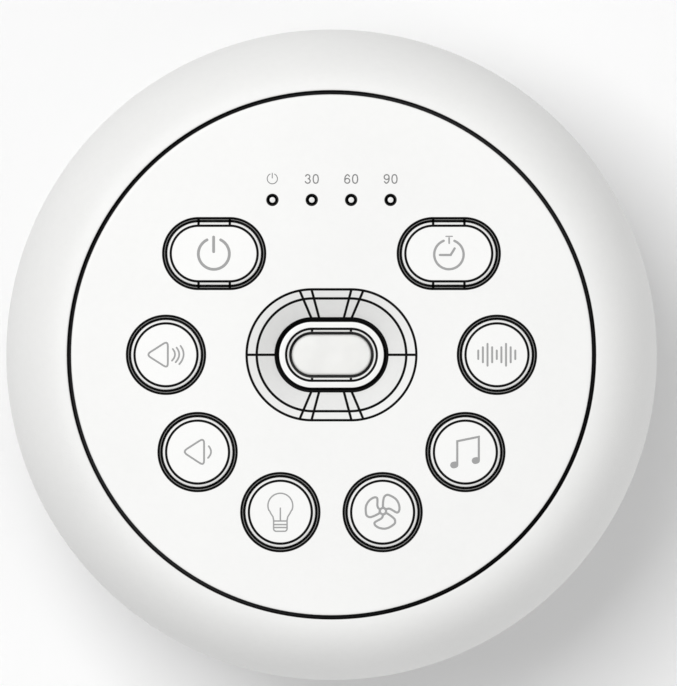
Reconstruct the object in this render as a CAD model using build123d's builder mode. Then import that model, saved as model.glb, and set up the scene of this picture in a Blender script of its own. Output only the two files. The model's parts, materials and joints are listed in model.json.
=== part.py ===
"""A round white noise machine with a night light, modelled in millimetres.

The frame: +Z is up, the front is towards -Y, and the origin is the centre of the footprint on the table.

The housing is three moulded pieces in a stack. A base plate with a sound deflector stands on four rubber
feet, a slotted ring lets the sound out all round, and an upper shell carries the control panel. A
loudspeaker hangs from a baffle inside and fires down at the deflector. The panel carries eight push
buttons, four indicator windows and, in the middle, a lofted dish with the night light at its bottom.
"""

from build123d import *
from math import atan2, cos, radians, sin, sqrt, tan
import os

os.makedirs("parts", exist_ok=True)

# ---------------------------------------------------------------------------
# Driving dimensions, in millimetres and degrees
# ---------------------------------------------------------------------------

# housing
body_radius = 60.0  # the widest radius of the housing
widest_height = 44.0  # where the housing is widest
side_curve_radius = 129.5  # the bulge of the side, in a vertical section
shell_wall = 2.4
lip_round = 0.4  # rounded edges on both sides of the panel groove
seat_clearance = 0.15  # between moulded pieces that fit into each other

# control panel
panel_radius = 47.94
panel_groove = 0.6
panel_thickness = 2.4
gasket_thickness = 0.6
gasket_width = 2.8
ledge_thickness = 2.0

# base, feet and grille ring
foot_lift = 2.0  # daylight under the base
foot_radius = 6.0
foot_inset = 9.5  # from the edge of the base to the middle of a foot
foot_chamfer = 0.5
foot_recess = 0.8
foot_count = 4
foot_start = 45.0  # bearing of the first foot, and of the screws that are in line with the feet
base_floor = 2.4
base_rim = 6.0  # height of the base plate's side
base_edge_round = 1.2
grille_height = 14.0
grille_wall = 2.2
slot_count = 60
slot_width = 2.6
slot_margin = 2.0  # solid band above and below the slots
slot_cutter_reach = 6.0  # how far the slot cutter goes past both faces of the ring
tongue_height = 1.8
tongue_wall = 1.6
seam_bevel = 0.3  # on the edges of the base and the shell that meet the ring
deflector_radius = 32.0
deflector_rise = 8.5
deflector_tip_radius = 4.0

# screws: a small one for boards and speaker, a long one for the base
screw_radius = 1.25
screw_head_radius = 2.4
screw_head_height = 1.5
screw_head_round = 0.7
screw_recess_length = 2.6
screw_recess_width = 0.6
screw_recess_depth = 0.9
screw_clearance = 0.1
screw_head_clearance = 0.3
screw_head_recess = 0.5  # from a foot to the heads over it
boss_wall = 1.75
screw_bite = 7.0  # how far a screw reaches into its boss
boss_height = 14.0  # of the bosses that hold the baffle

# buttons
button_circle_radius = 30.4
button_count = 6
button_step = 36.0
button_start = 180.0  # bearing of the first round button
button_radius = 6.4
button_gap = 0.36
button_proud = 1.0
button_travel = 0.8
button_edge_round = 0.6
button_chamfer = 0.45
button_flange = 1.1  # how far the flange stands out under the panel
button_flange_thickness = 1.2
button_top_thickness = 1.6
button_side_wall = 1.2
button_post_radius = 1.9
button_rest_gap = 0.3  # between flange and panel at rest
collar_gap = 0.3
collar_wall = 0.9
collar_depth = 3.0
long_button_x = 21.55
long_button_y = 18.6
long_button_radius = 5.73  # half of its height
long_button_straight = 5.74  # length of its straight sides

# indicator windows
indicator_y = 28.46
indicator_pitch = 7.235
indicator_count = 4
indicator_hole_radius = 1.07
indicator_tip_radius = 0.6
indicator_stem_radius = 0.9
indicator_bar_width = 2.4
indicator_bar_height = 1.6
indicator_bar_gap = 0.3

# night light in the dish
dish_straight = 7.14  # every outline of the dish is a stadium with straight sides of this length
dish_rim_radius = 12.02
dish_facet_radius = 10.36
dish_facet_depth = 1.0
dish_hole_radius = 6.7
dish_depth = 4.6
dish_wall = 1.9
bezel_radius = 6.25
bezel_opening_radius = 4.22
bezel_edge_round = 0.53
bezel_height = 2.6
bezel_flange = 1.7
bezel_flange_thickness = 1.0
lens_radius = 3.74
lens_inset = 0.8  # how deep the lens lies under the bezel's rim
lens_flange_radius = 5.2
lens_flange_thickness = 0.8
reflector_wall = 0.8
reflector_floor_radius = 3.2

# control board
board_headroom = 3.0  # between the loudspeaker and the board over it
board_ledge_gap = 2.1  # between the board and the ledge that it passes through
board_thickness = 1.6
board_drop = 9.6  # from the underside of the panel to the board
board_screw_margin = 3.5  # from the edge of the board to its screws
board_screw_count = 5
board_screw_start = 90.0
panel_boss_gap = 0.6  # between the bosses of the panel and the ledge
panel_screw_count = 3
panel_screw_start = 30.0
panel_lug_thickness = 2.0
panel_lug_drop = 2.6
panel_lug_radius = 3.6
panel_skin = 1.0  # plastic left over a blind hole in the panel
board_notch_radius = 4.5
switch_side = 6.2
switch_height = 3.4
switch_well_depth = 2.0
plunger_radius = 1.7
plunger_clearance = 0.1
plunger_length = 1.9
plunger_proud = 1.1
led_length = 2.0
led_width = 1.2
led_height = 0.8
night_led_spacing = 4.2
night_led_side = 2.4
night_led_count = 3
component_corner = 0.4  # bevelled upright edges of chips and connectors
chip_x = 13.0
chip_y = 25.0
chip_height = 1.6
sound_chip_side = 8.0
amplifier_chip_length = 6.5
amplifier_chip_width = 5.0
connector_length = 8.0
connector_height = 5.0
connector_screw_gap = 0.6  # between a connector and the head of the nearest board screw
capacitor_circle_radius = 31.0
capacitor_count = 3
capacitor_radius = 3.2
capacitor_height = 6.0
capacitor_spread = 44.0  # angle between the first capacitor and the last

# loudspeaker, from its front (which looks down) to its back
baffle_drop = 1.0  # baffle above the lower edge of the shell
baffle_thickness = 2.4
baffle_edge_gap = 0.3
baffle_screw_margin = 3.2  # from the edge of the baffle to its screws
baffle_screw_count = 4
cone_opening_radius = 26.0
speaker_radius = 34.0
speaker_screw_circle_radius = 31.2
flange_thickness = 1.2
rebate_depth = 1.1
rebate_radius = 28.6
gasket_radial = 1.9
speaker_gasket_thickness = 0.5
basket_wall = 1.1
basket_height = 10.9  # from the flange to the top plate
basket_shelf_radius = 18.4
basket_shelf_height = 8.6
basket_neck_radius = 16.6
basket_window_count = 6
basket_window_width = 13.0
basket_window_radial = 4.0
basket_window_corner = 1.4
terminal_width = 8.0
terminal_radial = 4.0
terminal_height = 1.6
top_plate_radius = 20.0
top_plate_thickness = 2.5
magnet_radius = 21.0
magnet_hole_radius = 12.0
magnet_thickness = 6.0
yoke_radius = 20.0
yoke_thickness = 2.5
pole_radius = 8.4
plate_hole_radius = 10.2
coil_inner_radius = 8.8
coil_wall = 0.7
coil_length = 9.0
winding_thickness = 0.35
winding_length = 4.6
cone_edge_radius = 21.2
cone_neck_height = 6.2
cone_thickness = 0.6
cone_excursion = 0.8
dust_cap_radius = 11.0
dust_cap_sag = 3.0
dust_cap_thickness = 0.5
roll_radius = 2.2
surround_thickness = 0.5
glue_gap = 0.1
moving_gap = 0.3  # kept between the cone assembly and its still neighbours
spider_thickness = 0.5
spider_wave_radius = 0.45
spider_wave_pitch = 2.0
spider_wave_count = 3

# sockets in the rear
jack_board_lift = 2.6  # daylight between the baffle and the socket board
jack_spacing = 18.0
jack_pocket_width = 36.0
jack_pocket_height = 14.0
jack_pocket_depth = 2.0  # below the widest part of the wall behind the sockets
jack_wall = 2.4
jack_pad_margin = 3.0
jack_body_height = 8.8
dc_body_width = 9.0
dc_body_depth = 14.0
dc_collar_radius = 4.4
dc_bore_radius = 3.1
dc_bore_depth = 10.0
dc_pin_radius = 1.0
dc_pin_length = 9.0
audio_body_width = 8.0
audio_body_depth = 13.0
audio_collar_radius = 3.2
audio_bore_radius = 1.8
audio_bore_depth = 14.0
jack_board_margin = 1.0  # of the board in front of the longer socket
jack_board_corner = 7.0  # cut off the rear corners, inside the round wall
jack_screw_gap = 0.6  # between a socket and the head of the screw beside it

# wires inside
wire_radius = 0.6
wire_pitch = 2.0
wire_bend = 0.45  # share of the shorter run beside a bend that its arc takes up

# ---------------------------------------------------------------------------
# Heights and radii worked out from them
# ---------------------------------------------------------------------------

# from the table up: base, grille ring, baffle, loudspeaker, control board, panel
base_bottom = foot_lift
base_floor_top = base_bottom + base_floor
grille_bottom = base_bottom + base_rim
shell_bottom = grille_bottom + grille_height
baffle_bottom = shell_bottom + baffle_drop
baffle_top = baffle_bottom + baffle_thickness
basket_flange_bottom = baffle_top + rebate_depth
basket_flange_top = basket_flange_bottom + flange_thickness
plate_bottom = basket_flange_bottom + basket_height
plate_top = plate_bottom + top_plate_thickness
magnet_top = plate_top + magnet_thickness
yoke_top = magnet_top + yoke_thickness
board_bottom = yoke_top + board_headroom
board_top = board_bottom + board_thickness
panel_bottom = board_top + board_drop
panel_height = panel_bottom + panel_thickness  # top face of the control panel

opening_radius = panel_radius + panel_groove
shoulder_width = body_radius - opening_radius
shoulder_rise = panel_height - widest_height
ledge_top = panel_bottom - gasket_thickness
ledge_bottom = ledge_top - ledge_thickness
ledge_radius = opening_radius - gasket_width - seat_clearance
lug_top = panel_bottom - panel_lug_drop
lug_bottom = lug_top - panel_lug_thickness

boss_radius = screw_radius + boss_wall
screw_hole_radius = screw_radius + screw_clearance
head_well_radius = screw_head_radius + screw_head_clearance

button_top = panel_height + button_proud
button_flange_top = panel_bottom - button_rest_gap
button_flange_bottom = button_flange_top - button_flange_thickness
switch_top = board_top + switch_height
plunger_top = switch_top + plunger_proud

dish_bottom = panel_height - dish_depth
bezel_bottom = dish_bottom - bezel_height
bezel_flange_top = bezel_bottom + bezel_flange_thickness
lens_top = dish_bottom - lens_inset
lens_flange_bottom = bezel_bottom - lens_flange_thickness

board_radius = ledge_radius - board_ledge_gap
board_screw_circle_radius = board_radius - board_screw_margin
panel_screw_circle_radius = ledge_radius - panel_boss_gap - boss_radius

shelf_z = basket_flange_bottom + basket_shelf_height
coil_bottom = basket_flange_bottom + cone_neck_height
surround_z = baffle_top + speaker_gasket_thickness
jack_board_bottom = baffle_top + jack_board_lift
jack_board_top = jack_board_bottom + board_thickness
jack_height = jack_board_top + jack_body_height / 2
connector_bottom = board_bottom - connector_height


def side_radius(height, inset=0.0):
    """Radius of the bulging side at a height below the widest ring, or of the face inset from it."""
    drop = widest_height - height
    return body_radius - side_curve_radius + sqrt((side_curve_radius - inset) ** 2 - drop**2)


def shoulder_radius(height, inset=0.0):
    """Radius of the elliptical shoulder at a height above the widest ring, or of the face inset from it."""
    climb = (height - widest_height) / (shoulder_rise - inset)
    return opening_radius + (shoulder_width - inset) * sqrt(1 - climb**2)


def side_arc(start, end, inset=0.0):
    """Draw the side's curve between two heights, or the curve of the face inset from it."""
    heights = (start, (start + end) / 2, end)
    ThreePointArc(*[(side_radius(height, inset), height) for height in heights])


def stadium(radius, straight):
    """Draw a slot outline that is wide along X, or a circle where it has no straight sides."""
    if straight > 0:
        SlotCenterToCenter(straight, 2 * radius)
    else:
        Circle(radius)


def screw(length, points_up=True):
    """Make a pan-head screw with a cross recess and the seat of its head at the origin."""
    with BuildPart() as one_screw:
        Cylinder(screw_radius, length, align=(Align.CENTER, Align.CENTER, Align.MIN))
        Cylinder(screw_head_radius, screw_head_height, align=(Align.CENTER, Align.CENTER, Align.MAX))
        fillet(one_screw.faces().sort_by(Axis.Z)[0].edges(), screw_head_round)
        with BuildSketch(Plane.XY.offset(-screw_head_height)):
            Rectangle(screw_recess_length, screw_recess_width)
            Rectangle(screw_recess_width, screw_recess_length)
        extrude(amount=screw_recess_depth, mode=Mode.SUBTRACT)
    return one_screw.part if points_up else one_screw.part.rotate(Axis.X, 180)


def save(piece, name):
    """Label a finished piece and write it as a STEP file of its own."""
    piece.part.label = name
    export_step(piece.part, f"parts/{name}.step")


# ---------------------------------------------------------------------------
# Feet and base
# ---------------------------------------------------------------------------

foot_circle_radius = side_radius(base_bottom) - foot_inset
foot_places = PolarLocations(foot_circle_radius, foot_count, start_angle=foot_start)
foot_top = foot_lift + foot_recess
base_seat = foot_top + screw_head_height + screw_head_recess  # where the heads of the base screws bear
base_post_top = grille_bottom

with BuildPart() as rubber_feet:
    with BuildSketch():
        with foot_places:
            Circle(foot_radius)
    extrude(amount=foot_top)
    chamfer(rubber_feet.edges().group_by(Axis.Z)[0], length=foot_chamfer)
save(rubber_feet, "rubber_feet")

deflector_slope = 2 * atan2(deflector_rise, deflector_radius - deflector_tip_radius)
deflector_ball = deflector_tip_radius / sin(deflector_slope)
deflector_top = base_floor_top + deflector_rise + deflector_ball * (1 - cos(deflector_slope))

with BuildPart() as base_plate:
    # one section: the side, the floor and the deflector, whose flare ends tangent to its round tip
    with BuildSketch(Plane.XZ) as base_section:
        with BuildLine():
            side_arc(base_bottom, grille_bottom)
            Polyline(
                (side_radius(grille_bottom), grille_bottom),
                (side_radius(grille_bottom, shell_wall), grille_bottom),
                (side_radius(base_floor_top, shell_wall), base_floor_top),
                (deflector_radius, base_floor_top),
            )
            flare = TangentArc(
                (deflector_radius, base_floor_top),
                (deflector_tip_radius, base_floor_top + deflector_rise),
                tangent=(-1, 0),
            )
            TangentArc(flare @ 1, (0, deflector_top), tangent=flare % 1)
            Polyline(
                (0, deflector_top),
                (0, base_bottom),
                (side_radius(base_bottom), base_bottom),
            )
        make_face()
        fillet(base_section.vertices().group_by(Axis.Y)[0].sort_by(Axis.X)[-1], base_edge_round)
        chamfer(base_section.vertices().sort_by(Axis.X)[-1], seam_bevel)
    revolve(axis=Axis.Z)
    with BuildSketch(Plane.XY.offset(base_floor_top)):
        with foot_places:
            Circle(head_well_radius + boss_wall)
    extrude(amount=base_post_top - base_floor_top)
    with BuildSketch(Plane.XY.offset(base_bottom)):
        with foot_places:
            Circle(foot_radius + seat_clearance)
    extrude(amount=foot_recess, mode=Mode.SUBTRACT)
    with BuildSketch(Plane.XY.offset(foot_top)):
        with foot_places:
            Circle(head_well_radius)
    extrude(amount=base_seat - foot_top, mode=Mode.SUBTRACT)
    with BuildSketch(Plane.XY.offset(base_seat)):
        with foot_places:
            Circle(screw_hole_radius)
    extrude(amount=base_post_top - base_seat, mode=Mode.SUBTRACT)
save(base_plate, "base_plate")

base_screw = screw(base_post_top - base_seat + screw_bite)
with BuildPart(Plane.XY.offset(base_seat)) as base_screws:
    with foot_places:
        add(base_screw)
save(base_screws, "base_screws")

# ---------------------------------------------------------------------------
# Slotted grille ring
# ---------------------------------------------------------------------------

slot_bottom = grille_bottom + slot_margin
slot_top = shell_bottom - slot_margin


def tongue(seat, height, inset):
    """Draw the section of a locating tongue that stands on the ring at a height, inside the next wall."""
    radius = side_radius(min(seat, seat + height), inset) - seat_clearance
    with Locations((radius - tongue_wall / 2, seat + height / 2)):
        Rectangle(tongue_wall, abs(height))


with BuildPart() as slot_cutter:
    with BuildSketch(Plane.YZ.offset(side_radius(slot_bottom, grille_wall) - slot_cutter_reach)):
        with Locations((0, (slot_bottom + slot_top) / 2)):
            SlotOverall(slot_top - slot_bottom, slot_width, rotation=90)
    extrude(amount=grille_wall + 2 * slot_cutter_reach)

with BuildPart() as speaker_grille:
    with BuildSketch(Plane.XZ):
        with BuildLine():
            side_arc(grille_bottom, shell_bottom)
            Line(
                (side_radius(shell_bottom), shell_bottom),
                (side_radius(shell_bottom, shell_wall + tongue_wall), shell_bottom),
            )
            Polyline(
                (side_radius(shell_bottom, shell_wall + tongue_wall), shell_bottom),
                (side_radius(shell_bottom, shell_wall + tongue_wall), slot_top),
                (side_radius(slot_top, grille_wall), slot_top),
            )
            side_arc(slot_top, slot_bottom, grille_wall)
            Polyline(
                (side_radius(slot_bottom, grille_wall), slot_bottom),
                (side_radius(grille_bottom, shell_wall + tongue_wall), slot_bottom),
                (side_radius(grille_bottom, shell_wall + tongue_wall), grille_bottom),
                (side_radius(grille_bottom), grille_bottom),
            )
        make_face()
        tongue(shell_bottom, tongue_height, shell_wall)
        tongue(grille_bottom, -tongue_height, shell_wall)
    revolve(axis=Axis.Z)
    with PolarLocations(0, slot_count):
        add(slot_cutter.part, mode=Mode.SUBTRACT)
save(speaker_grille, "speaker_grille")

# ---------------------------------------------------------------------------
# Upper shell
# ---------------------------------------------------------------------------

button_places = PolarLocations(
    button_circle_radius,
    button_count,
    start_angle=button_start,
    angular_range=button_step * (button_count - 1),
    endpoint=True,
)
board_screw_places = PolarLocations(
    board_screw_circle_radius, board_screw_count, start_angle=board_screw_start
)
panel_screw_places = PolarLocations(
    panel_screw_circle_radius, panel_screw_count, start_angle=panel_screw_start
)
baffle_radius = side_radius(shell_bottom, shell_wall + tongue_wall) - seat_clearance - baffle_edge_gap
baffle_screw_circle_radius = baffle_radius - baffle_screw_margin
baffle_screw_places = PolarLocations(baffle_screw_circle_radius, baffle_screw_count, start_angle=foot_start)

pocket_y = side_radius(jack_height) - jack_pocket_depth  # the flat that the sockets come out of
pad_y = pocket_y - jack_wall  # the flat behind it, inside

with BuildPart() as upper_shell:
    # what stands inside the wall: screw bosses with ribs, lugs for the panel and a pad for the sockets
    with BuildSketch(Plane.XY.offset(baffle_top)):
        with baffle_screw_places:
            Circle(boss_radius)
            with Locations((boss_radius, 0)):
                Rectangle(2 * boss_radius, boss_wall)
    extrude(amount=boss_height)
    with BuildSketch(Plane.XY.offset(lug_bottom)):
        with panel_screw_places:
            Circle(panel_lug_radius)
            Rectangle(
                opening_radius + panel_lug_thickness - panel_screw_circle_radius,
                2 * panel_lug_radius,
                align=(Align.MIN, Align.CENTER),
            )
    extrude(amount=panel_lug_thickness)
    with BuildSketch(Plane.XZ.offset(-pad_y)):
        with Locations((0, jack_height)):
            RectangleRounded(
                jack_pocket_width + 2 * jack_pad_margin,
                jack_pocket_height + 2 * jack_pad_margin,
                jack_pad_margin + jack_pocket_height / 2 - seat_clearance,
            )
    extrude(amount=-body_radius + pad_y)
    with BuildSketch(Plane.XZ):
        with BuildLine():
            side_arc(shell_bottom, widest_height)
            Polyline(
                (body_radius, widest_height),
                (body_radius - shell_wall / 2, panel_height - ledge_thickness),
                (0, panel_height - ledge_thickness),
                (0, shell_bottom),
                (side_radius(shell_bottom), shell_bottom),
            )
        make_face()
    revolve(axis=Axis.Z, mode=Mode.INTERSECT)
    # the wall itself, from the bottom edge up over the shoulder to the ledge that carries the panel
    with BuildSketch(Plane.XZ) as wall_section:
        with BuildLine():
            side_arc(shell_bottom, widest_height)
            EllipticalCenterArc(
                (opening_radius, widest_height), shoulder_width, shoulder_rise, start_angle=0, arc_size=90
            )
            Polyline(
                (opening_radius, panel_height),
                (opening_radius, ledge_top),
                (ledge_radius, ledge_top),
                (ledge_radius, ledge_bottom),
                (shoulder_radius(ledge_bottom, shell_wall), ledge_bottom),
            )
            ThreePointArc(
                (shoulder_radius(ledge_bottom, shell_wall), ledge_bottom),
                (
                    shoulder_radius((ledge_bottom + widest_height) / 2, shell_wall),
                    (ledge_bottom + widest_height) / 2,
                ),
                (body_radius - shell_wall, widest_height),
            )
            side_arc(widest_height, shell_bottom, shell_wall)
            Line(
                (side_radius(shell_bottom, shell_wall), shell_bottom),
                (side_radius(shell_bottom), shell_bottom),
            )
        make_face()
        fillet(wall_section.vertices().sort_by(Axis.Y)[-1], lip_round)
        chamfer(wall_section.vertices().group_by(Axis.Y)[0].sort_by(Axis.X)[-1], seam_bevel)
    revolve(axis=Axis.Z)
    with BuildSketch(Plane.XY.offset(baffle_top)):
        with baffle_screw_places:
            Circle(screw_hole_radius)
    extrude(amount=screw_bite, mode=Mode.SUBTRACT)
    with BuildSketch(Plane.XY.offset(lug_bottom)):
        with panel_screw_places:
            Circle(screw_hole_radius)
    extrude(amount=panel_lug_thickness, mode=Mode.SUBTRACT)
    with BuildSketch(Plane.XZ.offset(-pocket_y)):
        with Locations((0, jack_height)):
            SlotOverall(jack_pocket_width, jack_pocket_height)
    extrude(amount=-body_radius, mode=Mode.SUBTRACT)
    with BuildSketch(Plane.XZ.offset(-pad_y)):
        with Locations((-jack_spacing / 2, jack_height)):
            Circle(dc_collar_radius + seat_clearance)
        with Locations((jack_spacing / 2, jack_height)):
            Circle(audio_collar_radius + seat_clearance)
    extrude(amount=-body_radius, mode=Mode.SUBTRACT)
save(upper_shell, "upper_shell")

# ---------------------------------------------------------------------------
# Control panel
# ---------------------------------------------------------------------------

indicator_places = [
    (indicator_pitch * (index - (indicator_count - 1) / 2), indicator_y) for index in range(indicator_count)
]
long_button_places = [(-long_button_x, long_button_y), (long_button_x, long_button_y)]
collar_bore = button_radius + button_flange + collar_gap
long_collar_bore = long_button_radius + button_flange + collar_gap

with BuildPart() as panel_gasket:
    with BuildSketch(Plane.XY.offset(ledge_top)):
        Circle(opening_radius - seat_clearance)
        Circle(ledge_radius, mode=Mode.SUBTRACT)
    extrude(amount=gasket_thickness)
save(panel_gasket, "panel_gasket")

with BuildPart() as top_panel:
    with BuildSketch(Plane.XY.offset(panel_bottom)):
        Circle(panel_radius)
    extrude(amount=panel_thickness)
    fillet(top_panel.faces().sort_by(Axis.Z)[-1].edges(), lip_round)
    # collars that guide the flanges of the buttons, and bosses for the screws
    with BuildSketch(Plane.XY.offset(panel_bottom)):
        with button_places:
            Circle(collar_bore + collar_wall)
            Circle(collar_bore, mode=Mode.SUBTRACT)
        with Locations(*long_button_places):
            stadium(long_collar_bore + collar_wall, long_button_straight)
    extrude(amount=-collar_depth)
    with BuildSketch(Plane.XY.offset(board_top)):
        with board_screw_places:
            Circle(boss_radius)
    extrude(amount=panel_bottom - board_top)
    with BuildSketch(Plane.XY.offset(lug_top)):
        with panel_screw_places:
            Circle(boss_radius)
    extrude(amount=panel_bottom - lug_top)
    # the holes for the buttons, chamfered round the top
    with BuildSketch(Plane.XY.offset(panel_height)):
        with button_places:
            Circle(button_radius + button_gap)
        with Locations(*long_button_places):
            stadium(long_button_radius + button_gap, long_button_straight)
    extrude(amount=-panel_thickness, mode=Mode.SUBTRACT)
    top_face = top_panel.faces().sort_by(Axis.Z)[-1]
    chamfer(top_face.inner_wires().edges(), button_chamfer)
    # room for the flanges of the long buttons inside their collars
    with BuildSketch(Plane.XY.offset(panel_bottom)):
        with Locations(*long_button_places):
            stadium(long_collar_bore, long_button_straight)
    extrude(amount=-collar_depth, mode=Mode.SUBTRACT)
    # the bowl of the dish under the panel, then the dish itself in two slopes
    with BuildSketch(Plane.XY.offset(panel_bottom)):
        stadium(dish_rim_radius + dish_wall / 2, dish_straight)
    with BuildSketch(Plane.XY.offset(bezel_flange_top)):
        stadium(dish_hole_radius + dish_wall, dish_straight)
    loft()
    with BuildSketch(Plane.XY.offset(panel_height)):
        stadium(dish_rim_radius, dish_straight)
    with BuildSketch(Plane.XY.offset(panel_height - dish_facet_depth)):
        stadium(dish_facet_radius, dish_straight)
    loft(mode=Mode.SUBTRACT)
    with BuildSketch(Plane.XY.offset(panel_height - dish_facet_depth)):
        stadium(dish_facet_radius, dish_straight)
    with BuildSketch(Plane.XY.offset(dish_bottom)):
        stadium(dish_hole_radius, dish_straight)
    loft(mode=Mode.SUBTRACT)
    with BuildSketch(Plane.XY.offset(dish_bottom)):
        stadium(dish_hole_radius, dish_straight)
    extrude(amount=bezel_flange_top - dish_bottom, mode=Mode.SUBTRACT)
    # indicator windows and blind screw holes
    with BuildSketch(Plane.XY.offset(panel_height)):
        with Locations(*indicator_places):
            Circle(indicator_hole_radius)
    extrude(amount=-panel_thickness, mode=Mode.SUBTRACT)
    with BuildSketch(Plane.XY.offset(board_top)):
        with board_screw_places:
            Circle(screw_hole_radius)
    extrude(amount=screw_bite, mode=Mode.SUBTRACT)
    with BuildSketch(Plane.XY.offset(lug_top)):
        with panel_screw_places:
            Circle(screw_hole_radius)
    extrude(amount=panel_height - panel_skin - lug_top, mode=Mode.SUBTRACT)
save(top_panel, "top_panel")

panel_screw = screw(panel_height - panel_skin - lug_bottom - screw_clearance)
with BuildPart(Plane.XY.offset(lug_bottom)) as panel_screws:
    with panel_screw_places:
        add(panel_screw)
save(panel_screws, "panel_screws")

# ---------------------------------------------------------------------------
# Push buttons and the stems of their switches
# ---------------------------------------------------------------------------


def button_cap(name, place, radius, straight):
    """Make a hollow cap with a flange under the panel and a post that bears on its switch."""
    with BuildPart() as cap:
        with BuildSketch(Plane.XY.offset(button_flange_bottom)):
            with Locations(place):
                stadium(radius, straight)
        extrude(amount=button_top - button_flange_bottom)
        fillet(cap.faces().sort_by(Axis.Z)[-1].edges(), button_edge_round)
        with BuildSketch(Plane.XY.offset(button_flange_bottom)):
            with Locations(place):
                stadium(radius + button_flange, straight)
        extrude(amount=button_flange_thickness)
        with BuildSketch(Plane.XY.offset(button_flange_bottom)):
            with Locations(place):
                stadium(radius - button_side_wall, straight)
        extrude(amount=button_top - button_top_thickness - button_flange_bottom, mode=Mode.SUBTRACT)
        with BuildSketch(Plane.XY.offset(plunger_top)):
            with Locations(place):
                Circle(button_post_radius)
        extrude(amount=button_top - button_top_thickness - plunger_top)
    save(cap, f"{name}_button")


def switch_plunger(name, place):
    """Make the round stem that a button pushes into its switch."""
    with BuildPart() as plunger:
        with BuildSketch(Plane.XY.offset(plunger_top)):
            with Locations(place):
                Circle(plunger_radius)
        extrude(amount=-plunger_length)
    save(plunger, f"{name}_plunger")


round_button_names = ["volume_up", "volume_down", "light", "fan", "music", "noise"]
long_button_names = ["power", "timer"]
round_places = [
    (
        button_circle_radius * cos(radians(button_start + button_step * index)),
        button_circle_radius * sin(radians(button_start + button_step * index)),
    )
    for index in range(button_count)
]
switch_places = round_places + long_button_places

for name, place in zip(round_button_names, round_places):
    button_cap(name, place, button_radius, 0)
    switch_plunger(name, place)

for name, place in zip(long_button_names, long_button_places):
    button_cap(name, place, long_button_radius, long_button_straight)
    switch_plunger(name, place)

# ---------------------------------------------------------------------------
# Night light and indicator windows
# ---------------------------------------------------------------------------

bezel_flange_radius = bezel_radius + bezel_flange

with BuildPart() as light_bezel:
    with BuildSketch(Plane.XY.offset(bezel_bottom)):
        stadium(bezel_radius, dish_straight)
    extrude(amount=bezel_height)
    with BuildSketch(Plane.XY.offset(bezel_bottom)):
        stadium(bezel_flange_radius, dish_straight)
    extrude(amount=bezel_flange_thickness)
    with BuildSketch(Plane.XY.offset(bezel_bottom)):
        stadium(bezel_opening_radius, dish_straight)
    extrude(amount=bezel_height, mode=Mode.SUBTRACT)
    fillet(light_bezel.faces().sort_by(Axis.Z)[-1].inner_wires().edges(), bezel_edge_round)
save(light_bezel, "light_bezel")

with BuildPart() as light_lens:
    with BuildSketch(Plane.XY.offset(lens_flange_bottom)):
        stadium(lens_radius, dish_straight)
    extrude(amount=lens_top - lens_flange_bottom)
    fillet(light_lens.faces().sort_by(Axis.Z)[-1].edges(), bezel_edge_round)
    with BuildSketch(Plane.XY.offset(lens_flange_bottom)):
        stadium(lens_flange_radius, dish_straight)
    extrude(amount=lens_flange_thickness)
save(light_lens, "light_lens")

with BuildPart() as light_reflector:
    with BuildSketch(Plane.XY.offset(board_top)):
        stadium(reflector_floor_radius + reflector_wall, dish_straight)
    with BuildSketch(Plane.XY.offset(lens_flange_bottom)):
        stadium(lens_flange_radius, dish_straight)
    loft()
    with BuildSketch(Plane.XY.offset(board_top)):
        stadium(reflector_floor_radius, dish_straight)
    with BuildSketch(Plane.XY.offset(lens_flange_bottom)):
        stadium(lens_flange_radius - reflector_wall, dish_straight)
    loft(mode=Mode.SUBTRACT)
save(light_reflector, "light_reflector")

indicator_bar_top = panel_bottom - indicator_bar_gap
indicator_stem_bottom = board_top + led_height + indicator_bar_gap

with BuildPart() as indicator_light_pipe:
    with BuildSketch(Plane.XY.offset(indicator_stem_bottom)):
        with Locations(*indicator_places):
            Circle(indicator_stem_radius)
    extrude(amount=indicator_bar_top - indicator_stem_bottom)
    with BuildSketch(Plane.XY.offset(indicator_bar_top)):
        with Locations(*indicator_places):
            Circle(indicator_tip_radius)
    extrude(amount=panel_height - indicator_bar_top)
    with BuildSketch(Plane.XY.offset(indicator_bar_top)):
        with Locations((0, indicator_y)):
            SlotCenterToCenter(indicator_pitch * (indicator_count - 1), indicator_bar_width)
    extrude(amount=-indicator_bar_height)
save(indicator_light_pipe, "indicator_light_pipe")

# ---------------------------------------------------------------------------
# Control board and what is soldered to it
# ---------------------------------------------------------------------------

with BuildPart() as control_board:
    with BuildSketch(Plane.XY.offset(board_bottom)):
        Circle(board_radius)
        with panel_screw_places:
            Circle(board_notch_radius, mode=Mode.SUBTRACT)
        with board_screw_places:
            Circle(screw_hole_radius, mode=Mode.SUBTRACT)
    extrude(amount=board_thickness)
save(control_board, "control_board")

board_screw = screw(board_thickness + screw_bite - screw_clearance)
with BuildPart(Plane.XY.offset(board_bottom)) as board_screws:
    with board_screw_places:
        add(board_screw)
save(board_screws, "board_screws")

with BuildPart() as tact_switches:
    with BuildSketch(Plane.XY.offset(board_top)):
        with Locations(*switch_places):
            Rectangle(switch_side, switch_side)
    extrude(amount=switch_height)
    with BuildSketch(Plane.XY.offset(switch_top)):
        with Locations(*switch_places):
            Circle(plunger_radius + plunger_clearance)
    extrude(amount=-switch_well_depth, mode=Mode.SUBTRACT)
save(tact_switches, "tact_switches")

with BuildPart() as indicator_leds:
    with BuildSketch(Plane.XY.offset(board_top)):
        with Locations(*indicator_places):
            Rectangle(led_length, led_width)
    extrude(amount=led_height)
save(indicator_leds, "indicator_leds")

with BuildPart() as night_light_leds:
    with BuildSketch(Plane.XY.offset(board_top)):
        with GridLocations(night_led_spacing, 0, night_led_count, 1):
            Rectangle(night_led_side, night_led_side)
    extrude(amount=led_height)
save(night_light_leds, "night_light_leds")


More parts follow.
